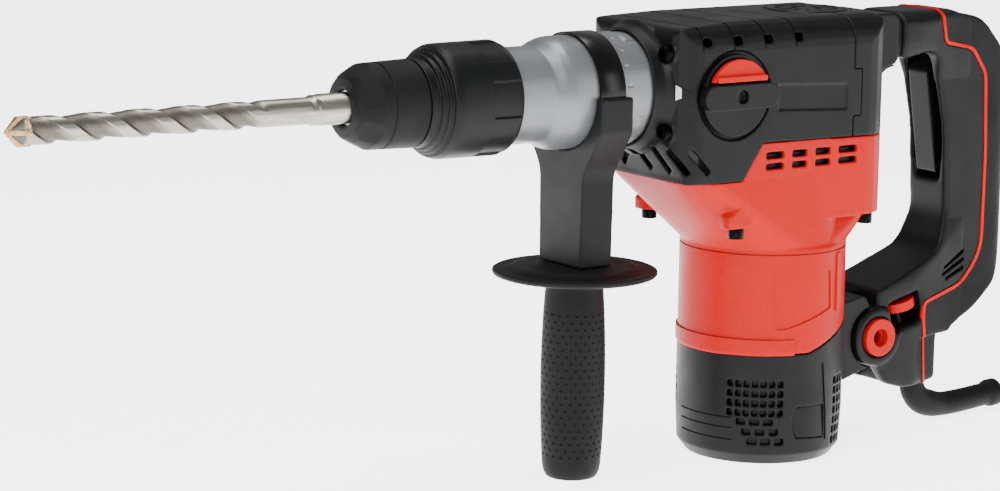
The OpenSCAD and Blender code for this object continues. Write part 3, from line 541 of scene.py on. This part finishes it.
def bit_paint():
    """Blasted steel with polished lands: the colour and gloss follow the radius."""
    paint = Paint("bit_steel", metallic=1.0)
    land = paint.spread(paint.reach("x", (0, *SPINDLE)), 0, 1, 6.9 * MM, 7.7 * MM)
    grain = paint.ramp(paint.noise(0.5, 3), (0.3, "#4a4540"), (0.7, "#645f58"))
    bright = paint.ramp(paint.noise(6, 4, stretch=(0.2, 3, 3)), (0.3, "#7c776f"), (0.7, "#a09b93"))
    paint.colour(paint.blend("MIX", grain, bright, land))
    paint.roughness(paint.spread(land, 0.5, 0.3, 0, 1))
    paint.bump(paint.noise(0.45, 2), 0.03, 0.8)
    return paint


def carbide_paint():
    """Sintered carbide between fillets of copper-coloured braze."""
    paint = Paint("carbide", metallic=0.9)
    stain = paint.noise(3, 5, 0.65)
    paint.colour(paint.ramp(stain, (0.32, "#8d7a66"), (0.5, "#b08c62"), (0.68, "#c9a06c")))
    paint.roughness(paint.spread(paint.noise(1.2, 3), 0.35, 0.6))
    paint.bump(paint.noise(0.9, 4), 0.12, 0.6)
    return paint


def rubber_paint(name, dark, light, rough=(0.55, 0.7)):
    """Soft-touch rubber: an even fine grain with a dull sheen."""
    paint = moulded(name, dark, light, rough, grain=0.28, depth=0.03)
    paint.shader.inputs["Specular IOR Level"].default_value = 0.13
    paint.shader.inputs["Sheen Weight"].default_value = 0.02
    paint.shader.inputs["Sheen Roughness"].default_value = 0.5
    return paint


def barrel_paint():
    """Light grey silver paint over cast metal, a little uneven from the casting."""
    paint = Paint("grey_paint", metallic=0.55, Coat_Weight=0.25, Coat_Roughness=0.25)
    flake = paint.noise(0.18, 1, 0.3)
    paint.colour(paint.ramp(flake, (0.3, "#5d5f62"), (0.7, "#6a6c6f")))
    paint.roughness(paint.spread(paint.noise(18, 3), 0.36, 0.48))
    paint.bump(paint.noise(2.5, 3), 0.03, 0.4)
    return paint


PAINTS = {
    "charcoal_plastic": moulded("charcoal_plastic", "#060708", "#0a0b0c", (0.36, 0.5),
                                Specular_IOR_Level=0.13),
    "red_plastic": moulded("red_plastic", "#9c0200", "#a80400", (0.34, 0.46), depth=0.012,
                           Specular_IOR_Level=0.1),
    "black_rubber": rubber_paint("black_rubber", "#050607", "#090a0b"),
    "black_plastic": moulded("black_plastic", "#030304", "#050506", (0.3, 0.42),
                             Specular_IOR_Level=0.12),
    "strap_black": moulded("strap_black", "#020203", "#040405", (0.2, 0.28), depth=0.004,
                           Specular_IOR_Level=0.22),
    "black_screws": machined("black_screws", "#08080a", "#121214", (0.3, 0.44)),
    "grey_paint": barrel_paint(),
    # cast aluminium is made much darker than its real grey: painted shade for the gearbox case
    # where it shows inside the housing
    "cast_aluminium": machined("cast_aluminium", "#3e3f41", "#515254", (0.45, 0.6), (1, 1, 1)),
    "steel": machined("steel", "#8b8c8e", "#b4b5b7"),
    "bit_steel": bit_paint(),
    "carbide": carbide_paint(),
    "copper": machined("copper", "#a35c30", "#c87a46", (0.28, 0.42), (1, 1, 12)),
    "carbon": moulded("carbon", "#1a1a1a", "#2c2c2c", (0.5, 0.7), grain=0.6),
    "cord_rubber": rubber_paint("cord_rubber", "#08090a", "#0f1011", (0.4, 0.52)),
}


def dress(piece, slot):
    """Gives a piece the material of its slot."""
    piece.data.materials.clear()
    piece.data.materials.append(PAINTS[slot].material)


# ---------------------------------------------------------------- cord

CORD = 8.0
CORD_ROUTE = [
    (200.4, 0, 12.4), (210, 0.3, 12.6), (220, 1.2, 11.2), (230, 3.2, 8.4), (240, 6.2, 5.8),
    (250, 10, 4.4), (260, 14.4, 4.2), (270, 18.8, 4.2), (280, 22.8, 4.2), (290, 26, 4.2),
    (304, 28, 4.2)]
COIL_CENTRE = (304, -28)
COIL_RADII = (56, 48, 40)
COIL_LAYERS = 4
COIL_FLOOR = CORD / 2 + 0.2   # middle of the lowest layer
COIL_STEP = 5          # degrees between the coil's points
RAMP = 60              # degrees in which a turn shifts to the next radius or layer
RISE_START = 215       # angle round the coil where the cord starts to rise to its plug
LEAVE_AT = 165         # angle where it leaves the round turn
LEAD_HANDLE = 18.6     # how far it holds its direction at either end of the lead
LEAD_STEPS = 12
PLUG_REAR = (290, 16, 45.6)
RELIEF_RIBS = 5
PIN_OFFSET = 9.5


def coil_path():
    """Turns of the coil: each layer winds in or out over three radii, then steps up by one cord.
    The last turn stops where the cord starts to rise to its plug."""
    path = []
    turned = 0
    for layer in range(COIL_LAYERS):
        radii = COIL_RADII if layer % 2 == 0 else COIL_RADII[::-1]
        low = COIL_FLOOR + layer * CORD
        # sweep in degrees, then the places of the radii it runs between
        runs = [(280, 0, 0), (RAMP, 0, 1), (360 - RAMP, 1, 1), (RAMP, 1, 2),
                (300 - RAMP, 2, 2), (RAMP, 2, 2)]
        if layer == COIL_LAYERS - 1:
            runs[4:] = [(410 - RAMP - RISE_START, 2, 2)]
        for k, (sweep, start, end) in enumerate(runs):
            for i in range(0, sweep, COIL_STEP):
                share = (1 - math.cos(math.pi * i / sweep)) / 2
                radius = radii[start] + (radii[end] - radii[start]) * share
                height = low + (CORD * share if k == 5 else 0)
                path.append(coil_point(90 - turned - i, radius, height))
            turned += sweep
    return path


def coil_point(angle, radius, height):
    """Point at an angle in degrees round the coil's middle."""
    t = math.radians(angle)
    return Vector((COIL_CENTRE[0] + radius * math.cos(t),
                   COIL_CENTRE[1] + radius * math.sin(t), height))


def lead_to_plug():
    """Leaves the top turn on a long low rise and runs straight into the plug."""
    low = COIL_FLOOR + (COIL_LAYERS - 1) * CORD
    path = [coil_point(a, COIL_RADII[0], low) for a in range(RISE_START, LEAVE_AT, -COIL_STEP)]
    leave = coil_point(LEAVE_AT, COIL_RADII[0], low)
    plug = Vector((PLUG_REAR[0], PLUG_REAR[1], low))
    t = math.radians(LEAVE_AT)
    one = leave + LEAD_HANDLE * Vector((math.sin(t), -math.cos(t), 0))
    two = plug - LEAD_HANDLE * Vector((1, 0, 0))
    for i in range(LEAD_STEPS + 1):
        s = i / LEAD_STEPS
        path.append((1 - s) ** 3 * leave + 3 * (1 - s) ** 2 * s * one
                    + 3 * (1 - s) * s ** 2 * two + s ** 3 * plug)
    length = path_length(path)
    here = 0.0
    risen = []
    for i, point in enumerate(path):
        here += (point - path[i - 1]).length if i else 0
        share = (1 - math.cos(math.pi * here / length)) / 2
        risen.append(point + Vector((0, 0, (PLUG_REAR[2] - low) * share)))
    return risen


def path_length(path):
    """Length along a path in its own units."""
    return sum((b - a).length for a, b in zip(path, path[1:]))


def add_plug():
    """Moulded mains plug with a ribbed strain relief and two round pins, lying on the coil."""
    x, y, z = PLUG_REAR
    profile = [(x - 0.1, 0), (x - 0.1, 4.2)]
    for i in range(RELIEF_RIBS):
        rib, swell = x + i * 2.6, i * 0.8
        profile += [(rib, 6 + swell), (rib + 1.7, 6.3 + swell),
                    (rib + 1.7, 5 + swell), (rib + 2.6, 5.1 + swell)]
    profile += [(x + 14, 11), (x + 18, 12.4), (x + 28, 12.8), (x + 43.5, 12.9),
                (x + 45.4, 12.3), (x + 46, 11), (x + 46, 0)]
    body = lathe("plug_body", profile, "x", (y, z), 64)
    flats = [box("flat", (x - 5, y - 20, z + 10.6), (x + 60, y + 20, z + 20)),
             box("flat", (x - 5, y - 20, z - 20), (x + 60, y + 20, z - 12.95))]
    cut(body, *flats)
    pins = [lathe("pin", soft_profile([(x + 45, 0, 0), (x + 45, 2.4, 0), (x + 65, 2.4, 1.2),
                                       (x + 65, 0, 0)]), "x", (y + side * PIN_OFFSET, z), 32)
            for side in (-1, 1)]
    finish_piece(body, "housing", "cord_rubber", "plug")
    metal = gather("plug_pins", pins)
    finish_piece(metal, "housing", "steel")
    return [body, metal]


def add_cord():
    """The whole cord on one smooth line: out of the boot, into the coil, up to the plug."""
    path = smooth_path(CORD_ROUTE, 4)[:-1] + coil_path() + lead_to_plug()
    data = bpy.data.curves.new("cord", "CURVE")
    data.dimensions = "3D"
    data.bevel_depth = CORD / 2 * MM
    data.bevel_resolution = 6
    data.use_fill_caps = True
    line = data.splines.new("POLY")
    line.points.add(len(path) - 1)
    for point, here in zip(line.points, path):
        point.co = (*(here * MM), 1)
    line.use_smooth = True
    flex = link("cord", data)
    flex.data.materials.append(PAINTS["cord_rubber"].material)
    plug = add_plug()
    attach(flex, "housing")
    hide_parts("power_cord", "cord_coil")
    print("cord length", round(path_length(path) * MM, 4))


add_cord()


# ---------------------------------------------------------------- drill bit

LAND_SPACING = 28.7    # two lands run round the bit, so each one climbs twice this a turn
LAND_PHASE = 0.75
FLUTES = (-503, -360)  # where the flutes start and end
FLUTE_STEP = 0.6
LAND_RADIUS = 7.75
FLOOR_RADIUS = 6.0
SHANK_STEP = -329      # where the shank starts to widen


def flute_radius(share):
    """Radius across one flute: land, steep drop, floor, gentle rise to the next land."""
    if share < 0.30:
        return LAND_RADIUS
    if share < 0.37:
        return LAND_RADIUS - (LAND_RADIUS - FLOOR_RADIUS) * (share - 0.30) / 0.07
    if share < 0.50:
        return FLOOR_RADIUS
    rise = (share - 0.50) / 0.50
    return FLOOR_RADIUS + 1.3 * math.sin(rise * math.pi / 2) + 0.45 * max(0, (rise - 0.9) / 0.1)


def shank_radius(x):
    """Radius of the plain bit at a station: it widens to the shank, then steps to its collar."""
    if x > -322.2:
        return 9.0
    if x > -326.9:
        return 8.7
    return 7.7 if x < SHANK_STEP else 7.7 + 0.9 * min(1, max(0, (x - SHANK_STEP) / 6.5))


def add_bit():
    """Fluted shaft with a slotted shank, a carbide plate and cross in its tip, and their braze."""
    sides = 120
    stations = [FLUTES[0] + FLUTE_STEP * i for i in range(241)]
    stations += [-356, -340, -329.5, -328, -326.8, -325.5, -322.5, -322, -250, -208.3, -207.6]
    points, faces = [], []
    for x in stations:
        run_out = min(1, max(0, (x - FLUTES[1] + 6) / 8))
        run_in = min(1, max(0, (FLUTES[0] + 4 - x) / 4))
        for k in range(sides):
            t = 2 * math.pi * k / sides
            share = (x / LAND_SPACING + LAND_PHASE - t / math.pi) % 1
            radius = flute_radius(share)
            blend = max(run_out, run_in * 0.7)
            radius = radius * (1 - blend) + shank_radius(x) * blend
            if x > -208:
                radius = 8.4
            points.append((x, radius * math.cos(t), AXIS_Z + radius * math.sin(t)))
    rows = len(stations)
    for i in range(rows - 1):
        for k in range(sides):
            a, b = i * sides + k, i * sides + (k + 1) % sides
            faces.append((a, b, b + sides, a + sides))
    faces += [list(range(sides))[::-1], list(range((rows - 1) * sides, rows * sides))]
    shaft = mesh_of("bit", points, faces, 50)
    grooves = [rod("groove", (0, AXIS_Z + s * 10.9), 3.9, -248, -212, "x") for s in (-1, 1)]
    cut(shaft, *grooves)
    finish_piece(shaft, "bit", "bit_steel", "drill_bit", crease=50)
    cone = lathe("tip_cone", [(-509.5, 0), (-509.5, 3.2), (-505, 6.6), (-503.4, 7.6),
                              (-502.9, 7.7), (-502.9, 0)], "x", SPINDLE, 64)
    plate = prism("tip_plate", rounded([(-514, 233, 0), (-506.6, 241, 0.8), (-499.5, 241, 0),
                                        (-497, 238, 0), (-497, 228, 0), (-499.5, 225, 0),
                                        (-506.6, 225, 0.8)], 3), -1.9, 1.9, "y")
    chamfers = [prism("chamfer", [(-516, s * 0.12), (-504, s * 2.6), (-516, s * 6)], 220, 246, "z")
                for s in (-1, 1)]
    cut(plate, *chamfers)
    cross = prism("tip_cross", [(-511.8, -1.4), (-505.4, -7.3), (-500.6, -7.3), (-500.6, 7.3),
                                (-505.4, 7.3), (-511.8, 1.4)], 231.7, 234.3, "z")
    braze = lathe("braze", soft_profile([(-508, 0, 0), (-508, 4.4, 1), (-501.5, 8.05, 0.6),
                                         (-500.6, 7.5, 0.4), (-500.6, 0, 0)]), "x", SPINDLE, 64)
    join(plate, cross, braze)
    bevel(plate, 0.15, 1, 30)
    finish_piece(plate, "bit", "carbide", "carbide_tip")
    finish_piece(cone, "bit", "bit_steel")


add_bit()


# ---------------------------------------------------------------- chuck and barrel

SIDE_X = -143          # middle of the clamping strap and of the side grip


def add_chuck():
    """Rubber nose with six flats, and the locking sleeve with its step rings and grip flats."""
    nose = lathe("nose", rounded([
        (-303.2, 9.9, 0.4), (-305.4, 10.4, 0.5), (-305.8, 12.4, 1), (-305.2, 17, 1.5),
        (-301.5, 20.6, 2), (-293.5, 24.6, 3), (-285.4, 24.9, 0.4), (-285, 23.8, 0.2),
        (-284.4, 23.8, 0.2), (-284, 24.9, 0.4), (-262.4, 25.5, 0.5), (-262.4, 14.1, 0),
        (-300.1, 14.1, 0), (-303.2, 12.1, 0)], 3), "x", SPINDLE, 120)
    flats = []
    for k in range(6):
        turn = math.radians(60 * k + 5)
        flat = prism("flat", [(-309, 15.4), (-309, 40), (-292, 40), (-292, 24.3)], -30, 30, "y")
        flat.data.transform(Matrix.Translation(Vector((0, 0, AXIS_Z * MM)))
                            @ Matrix.Rotation(turn, 4, "X"))
        flats.append(flat)
    cut(nose, *flats)
    stand_for("dust_cap", soften(nose, 0.4, 3, 0.2))

    sleeve = lathe("sleeve", rounded([
        (-261.7, 19.5, 0), (-261.7, 25.6, 0.5), (-256, 25.8, 0), (-256, 27.6, 0.6),
        (-252.8, 27.8, 0), (-252.8, 29.6, 0.6), (-249.8, 29.8, 0), (-249.8, 31.7, 0.6),
        (-246.6, 33, 1.2), (-244, 33.3, 2), (-206.6, 33.6, 1.5), (-203.4, 32.2, 1),
        (-203.2, 29.5, 0), (-243, 29.5, 0), (-243, 19.5, 0)], 4), "x", SPINDLE, 160)
    for k in range(6):
        middle = 175 - 60 * k
        cut(sleeve, sector("grip_flat", 40, middle - 18.5, middle + 18.5, -224, -204.6, "x",
                           SPINDLE, 32.1))
    stand_for("lock_sleeve", soften(sleeve, 0.45, 4, 0.2))


def add_barrel():
    """Painted barrel with its index notches beside the strap and low blocks by the neck."""
    barrel = copy_of("front_barrel", "barrel")
    blocks = [sector("block", 34.3, a - 7, a + 7, -121, -114.6, "x", SPINDLE, 32)
              for a in (-150, -118, -86, 70, 110)]
    join(barrel, *blocks)
    stand_for("front_barrel", soften(barrel, 0.55, 4, 0.15))


# ---------------------------------------------------------------- side handle

GRIP_ROWS = 22         # rows of dimples
ROW_START = 15
ROW_PITCH = 4.1
DIMPLES = 12           # in each row
DIMPLE_PITCH = 16.5    # degrees
DIMPLE_START = -195    # degrees
DIMPLE_RADIUS = 1.15
DIMPLE_REACH = 0.95    # from the grip's radius out to a dimple's centre
BAND_HALF = 9          # half the strap's width


def grip_radius(z):
    """Radius of the grip's handle, swelling in its middle."""
    return 16.4 + 2.5 * math.sin(math.pi * min(1, max(0, (z - 2) / 116))) ** 0.7


def dimple(turn, z):
    """Ball that cuts one dimple into the grip."""
    reach = grip_radius(z) + DIMPLE_REACH
    place = Vector((SIDE_X + reach * math.cos(turn), reach * math.sin(turn), z)) * MM
    ball = bpy.data.meshes.new("dimple")
    work = bmesh.new()
    bmesh.ops.create_icosphere(work, subdivisions=2, radius=DIMPLE_RADIUS * MM,
                               matrix=Matrix.Translation(place))
    work.to_mesh(ball)
    work.free()
    return link("dimple", ball)


def add_grip():
    """Turned grip with its hand guard, and staggered rows of dimples on the side that shows."""
    profile = [(0, 0), (0, 13.6), (0.6, 15), (2, 16), (4, 16.9)]
    profile += [(z, grip_radius(z) + 0.5) for z in range(8, 117, 4)]
    profile += [(118.6, 17.4), (120.2, 18.6), (121.2, 22), (122, 32), (122.4, 42), (122.8, 46.4),
                (123.6, 48.6), (124.8, 49.4), (126.2, 49.2), (126.8, 48), (126.4, 44.6),
                (126.6, 41), (127.9, 38.4), (128.5, 35), (128.3, 30), (128.6, 25), (129.6, 21),
                (129.7, 4.05), (58, 4.05), (58, 0)]
    grip = lathe("grip", profile, "z", (SIDE_X, 0), 120)
    dimples = []
    for row in range(GRIP_ROWS):
        for k in range(DIMPLES):
            turn = math.radians(DIMPLE_START + (k + row % 2 / 2) * DIMPLE_PITCH)
            dimples.append(dimple(turn, ROW_START + row * ROW_PITCH))
    cut(grip, gather("dimples", dimples))
    stand_for("side_grip", grip, 30)


def add_strap():
    """Smooth band round the barrel, with straight legs that meet in a V at the bolt."""
    outer = arc(SPINDLE, 35.4, 0, 180, 72) + [(-35.4, 207), (-9, 186), (9, 186), (35.4, 207)]
    inner = arc(SPINDLE, 33.9, 0, 180, 72) + [(-33.9, 209), (-8, 189), (8, 189), (33.9, 209)]
    band = prism("strap_band", outer, SIDE_X - BAND_HALF, SIDE_X + BAND_HALF, "x")
    cut(band, prism("inside", inner, SIDE_X - BAND_HALF - 1, SIDE_X + BAND_HALF + 1, "x"),
        rod("hole", (SIDE_X, 0), 4.02, 180, 195, "z"))
    stand_for("clamp_strap", bevel(band, 0.35, 2, 50), 40)


def add_side_handle():
    """Grip, head and clamping strap."""
    add_grip()
    stand_for("handle_head", soft_copy("handle_head", "handle_head_skin", 0.55, 5, 0.2))
    add_strap()


# ---------------------------------------------------------------- black covers

TOP_GROOVES = (-88.6, -65.4, -42.1, -18.3)
GROOVE_WIDTH = 0.9
CAP_RADIUS = 25.6
POINTER_SPAN = (220, 250)   # heights that hold the whole index pointer
SEGMENTS = 12          # raised segments of the blank badge


def add_covers():
    """Gear cover with grooves running over its top beside the vents, and the rear cover."""
    cover = soft_copy("gear_cover", "gear_cover_skin", 0.7, 5, 0.22)
    relief(cover, -0.6, *[box("slab", (x, -60, 258), (x + GROOVE_WIDTH, 60, 290))
                          for x in TOP_GROOVES])
    stand_for("gear_cover", cover, 40)
    stand_for("rear_cover", soft_copy("rear_cover", "rear_cover_skin", 0.7, 5, 0.22), 40)


def add_badge():
    """Blank round cap over the crank: a raised ring of twelve segments round a plain hub."""
    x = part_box("crank_cap")[0][0] / MM + CAP_RADIUS
    profile = rounded([(258.2, 0, 0), (258.2, 23.7, 0), (269, 23.7, 0), (269, 25.4, 0.3),
                       (273.6, 25.4, 0.9), (274.4, 24.4, 0.4), (274.4, 19.6, 0.3),
                       (273.2, 19.2, 0.2), (273.2, 0, 0)], 3)
    cap = lathe("badge", profile, "z", (x, 0), 120)
    teeth = [sector("tooth", 17.4, 30 * k, 30 * k + 21, 272, 274.3, "z", (x, 0), 9.5)
             for k in range(SEGMENTS)]
    hub = rod("hub", (x, 0), 7, 272, 274.1, "z")
    join(cap, gather("teeth", teeth), hub)
    stand_for("crank_cap", soften(cap, 0.4, 2, 0.2))


def add_pointer():
    """Triangle on the front corner: a bright base, and a black tip that is painted shade where the
    triangle turns onto the side away from the light.
    """
    middle = [(a + b) / 2 / MM for a, b in zip(*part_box("index_pointer"))]
    along = Vector((0.731, -0.682, 0))
    across = Vector((0.682, 0.731, 0))
    split = Vector(middle) - 1.4 * along
    outline = [(split + a * 20 * along + b * 20 * across)[:2]
               for a, b in ((0, -1), (1, -1), (1, 1), (0, 1))]
    base = copy_of("index_pointer", "pointer_base")
    tip = link("pointer_painted_shade", base.data.copy())
    cut(base, prism("painted_shade_space", outline, *POINTER_SPAN, "z"))
    keep_inside(tip, prism("painted_shade_space", outline, *POINTER_SPAN, "z"))
    stand_for("index_pointer", base)
    # the black tip is painted shade, not a second colour of the pointer
    finish_piece(tip, "housing", "black_plastic")


# ---------------------------------------------------------------- selector

def add_selector():
    """Selector knob, and its red button with a lip under its lower edge."""
    low, high = (corner / MM for corner in map(Vector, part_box("selector_button")))
    knob = soft_copy("selector_knob", "selector_skin", 0.4, 5, 0.25)
    stand_for("selector_knob", knob)
    button = copy_of("selector_button", "selector_press")
    lip = prism("lip", rectangle(low.x + 1.5, low.z + 0.1, high.x - 1.5, low.z + 3.6, 1),
                low.y - 2.6, low.y + 1.5, "y")
    join(button, lip)
    stand_for("selector_button", soften(button, 0.35, 5, 0.35))


# ---------------------------------------------------------------- red casing and its end cap

def add_motor():
    """Red casing with its step line, flare, blank panel and rib, and the vented end cap."""
    casing = soft_copy("motor_housing", "casing", 0.75, 5, 0.18)
    relief(casing, -0.8, box("slab", (-70, -70, 130.5), (70, 70, 131.5)),
           prism("panel", rounded([(-26.8, 120.5, 2), (13.5, 119.4, 2), (14.9, 95.6, 2),
                                   (-18.5, 85, 2), (-25.2, 84.6, 2)]), -70, -30, "y"))
    relief(casing, 1.2, sector("rib", 60, -67.5, -62, 93, 129, "z"),
           sector("flare", 60, -240, -105, 60, 78.5, "z"))
    stand_for("motor_housing", casing, 40)

    end = soft_copy("motor_end_cap", "end_cap", 0.65, 4, 0.25)
    relief(end, -0.9, *[sector("ring", 60, 165, 213, z, z + 1, "z") for z in (15.2, 22.6, 29)])
    relief(end, 0.7, prism("ridge", [(8.6, 61.8), (9.8, 61.8), (15.2, 13.2), (14, 13.2)],
                           -70, -30, "y"))
    stand_for("motor_end_cap", end, 40)
    stand_for("brush_caps", soft_copy("brush_caps", "brush_cap_skin", 0.4, 3, 0.6))

    # black sheets close behind the vents: painted shade for the dark inside of the end cap and the
    # casing
    ring = lathe("screen", [(8, 46.4), (8, 47.6), (64, 47.6), (64, 46.4)], "z", (0, 0), 96)
    walls = [prism("screen", rounded([(-42, 182, 2), (38, 182, 2), (38, 193, 2), (-42, 193, 2)]),
                   *sorted((side * 42.4, side * 43.4)), "y") for side in (-1, 1)]
    finish_piece(gather("vent_shade_sheets", [ring] + walls), "housing", "black_plastic")


# ---------------------------------------------------------------- rear handle

STRIPE_PROUD = 0.7     # how far the stripe may stand out of the rounded form
DIAL_WELL = ((100, -21.5, 60), (119, 21.5, 97))
SLOT_REAR = 152
# x and z of each slot's front end, z of its rear end
SLOTS = ((128, 102, 113), (127, 98.4, 107.6), (130.5, 95.6, 102.2))


def add_rear_handle():
    """Frame and grip cut from one rounded form, so that they meet flush, and a proud stripe."""
    whole = copy_of("handle_frame", "handle_form")
    join(whole, copy_of("handle_overmould", "grip"), copy_of("handle_stripe", "stripe_form"))
    soften(whole, 1.3, 26)
    proud = offset(whole, STRIPE_PROUD)
    frame_skin = copy_of("handle_frame", "handle_frame_skin")
    keep_inside(frame_skin, link("form", whole.data.copy()))
    grip_skin = copy_of("handle_overmould", "handle_grip_skin")
    keep_inside(grip_skin, link("form", whole.data.copy()))
    stripe = copy_of("handle_stripe", "handle_stripe_skin")
    keep_inside(stripe, proud)
    cut(stripe, box("dial_well", *DIAL_WELL))
    bpy.data.objects.remove(whole)
    slots = [prism("slot", [(x, z), (SLOT_REAR, top), (SLOT_REAR, top + 2.8), (x, z + 0.8)],
                   *sorted((side * 15.5, side * 30)), "y")
             for x, z, top in SLOTS for side in (-1, 1)]
    cut(frame_skin, gather("slots", slots))
    stand_for("handle_frame", soften(frame_skin, 0.6, 3, 0.5))
    stand_for("handle_overmould", soften(grip_skin, 0.6, 3, 0.5))
    stand_for("handle_stripe", stripe)
    stand_for("trigger", soft_copy("trigger", "trigger_skin", 0.45, 8, 0.6))
    stand_for("pivot_pin", soft_copy("pivot_pin", "pivot_skin", 0.4, 3, 0.6))
    stand_for("pivot_bracket", soft_copy("pivot_bracket", "bracket_skin", 0.6, 6, 0.25))
    stand_for("speed_dial", soft_copy("speed_dial", "dial_skin", 0.25, 1, 0.6))


BOOT_SPAN = (126, 200)
BOOT_RADIUS = 7.8
BEND_SHARE = 0.35      # share of the boot's length, from the handle, that is its bend


def add_boot():
    """Smooth strain relief, a little thicker in its bend, with a flared ring at its end."""
    path = smooth_path([(126, 0, 51), (126, 0, 40), (126.5, 0, 30), (129, 0, 21), (135, 0, 14.5),
                        (144, 0, 11), (154, 0, 9.6), (166, 0, 9.8), (178, 0, 10.6),
                        (190, 0, 11.6), (200, 0, 12.4)], 0.8)
    radii = []
    for point in path:
        along = max(0.0, point.x - BOOT_SPAN[0]) / (BOOT_SPAN[1] - BOOT_SPAN[0])
        bend = math.sin(math.pi * along / BEND_SHARE) if along < BEND_SHARE else 0
        ring = max(0.0, min(1, (along - 0.86) / 0.07))
        radii.append(BOOT_RADIUS + bend - 0.7 * max(0.0, along - BEND_SHARE)
                     + 1.6 * ring * ring * (3 - 2 * ring))
    stand_for("cord_boot", tube("boot", path, radii, 32))


add_chuck()
add_barrel()
add_side_handle()
add_covers()
add_badge()
add_pointer()
add_selector()
add_motor()
add_rear_handle()
add_boot()
for screws in ("cover_screws", "motor_screws"):
    stand_for(screws, bevel(copy_of(screws, screws + "_skin"), 0.3, 2, 50), 40)


# ---------------------------------------------------------------- CAD nodes that stay

for name, node in nodes.items():
    if not node.hide_render:
        dress(node, record_slot(name))


# ---------------------------------------------------------------- studio

FLOOR_HALF = 30        # metres
FLOOR_GLOW = 3.8       # emission strength


def add_floor():
    """Pale floor that glows a little, so that it looks nearly white."""
    half = FLOOR_HALF
    data = bpy.data.meshes.new("floor")
    data.from_pydata([(-half, -half, 0), (half, -half, 0), (half, half, 0), (-half, half, 0)],
                     [], [(0, 1, 2, 3)])
    floor = link("floor", data)
    paint = Paint("floor")
    paint.colour(paint.ramp(paint.noise(900, 2), (0.3, "#f2f2f2"), (0.7, "#f6f6f6")))
    paint.roughness(paint.spread(paint.noise(300, 2), 0.75, 0.85))
    paint.shader.inputs["Emission Color"].default_value = (1, 1, 1, 1)
    paint.shader.inputs["Emission Strength"].default_value = FLOOR_GLOW
    data.materials.append(paint.material)


def add_softbox(name, place, target, size, power, spread=120):
    """Area light at a place, in metres, turned towards its target."""
    data = bpy.data.lights.new(name, "AREA")
    data.shape = "RECTANGLE"
    data.size, data.size_y = size
    data.energy = power
    data.spread = math.radians(spread)
    lamp = link(name, data)
    lamp.location = place
    lamp.rotation_euler = (Vector(target) - Vector(place)).to_track_quat("-Z", "Y").to_euler()


def add_lights():
    """Soft light from all round, a large key on the left, a top light and a weak fill."""
    world = bpy.data.worlds.new("studio")
    world.use_nodes = True
    sky = world.node_tree.nodes["Background"]
    sky.inputs["Color"].default_value = (1, 1, 1, 1)
    sky.inputs["Strength"].default_value = 0.4
    bpy.context.scene.world = world
    add_softbox("key", (-1.6, -1.2, 1.5), (0, 0, 0.2), (0.9, 1.2), 22)
    add_softbox("top", (-0.1, 0.1, 1.6), (0, 0, 0.15), (1.6, 0.5), 10)
    add_softbox("fill", (1.2, -1.8, 0.8), (0.05, 0, 0.15), (0.7, 1.2), 5)


add_floor()
add_lights()
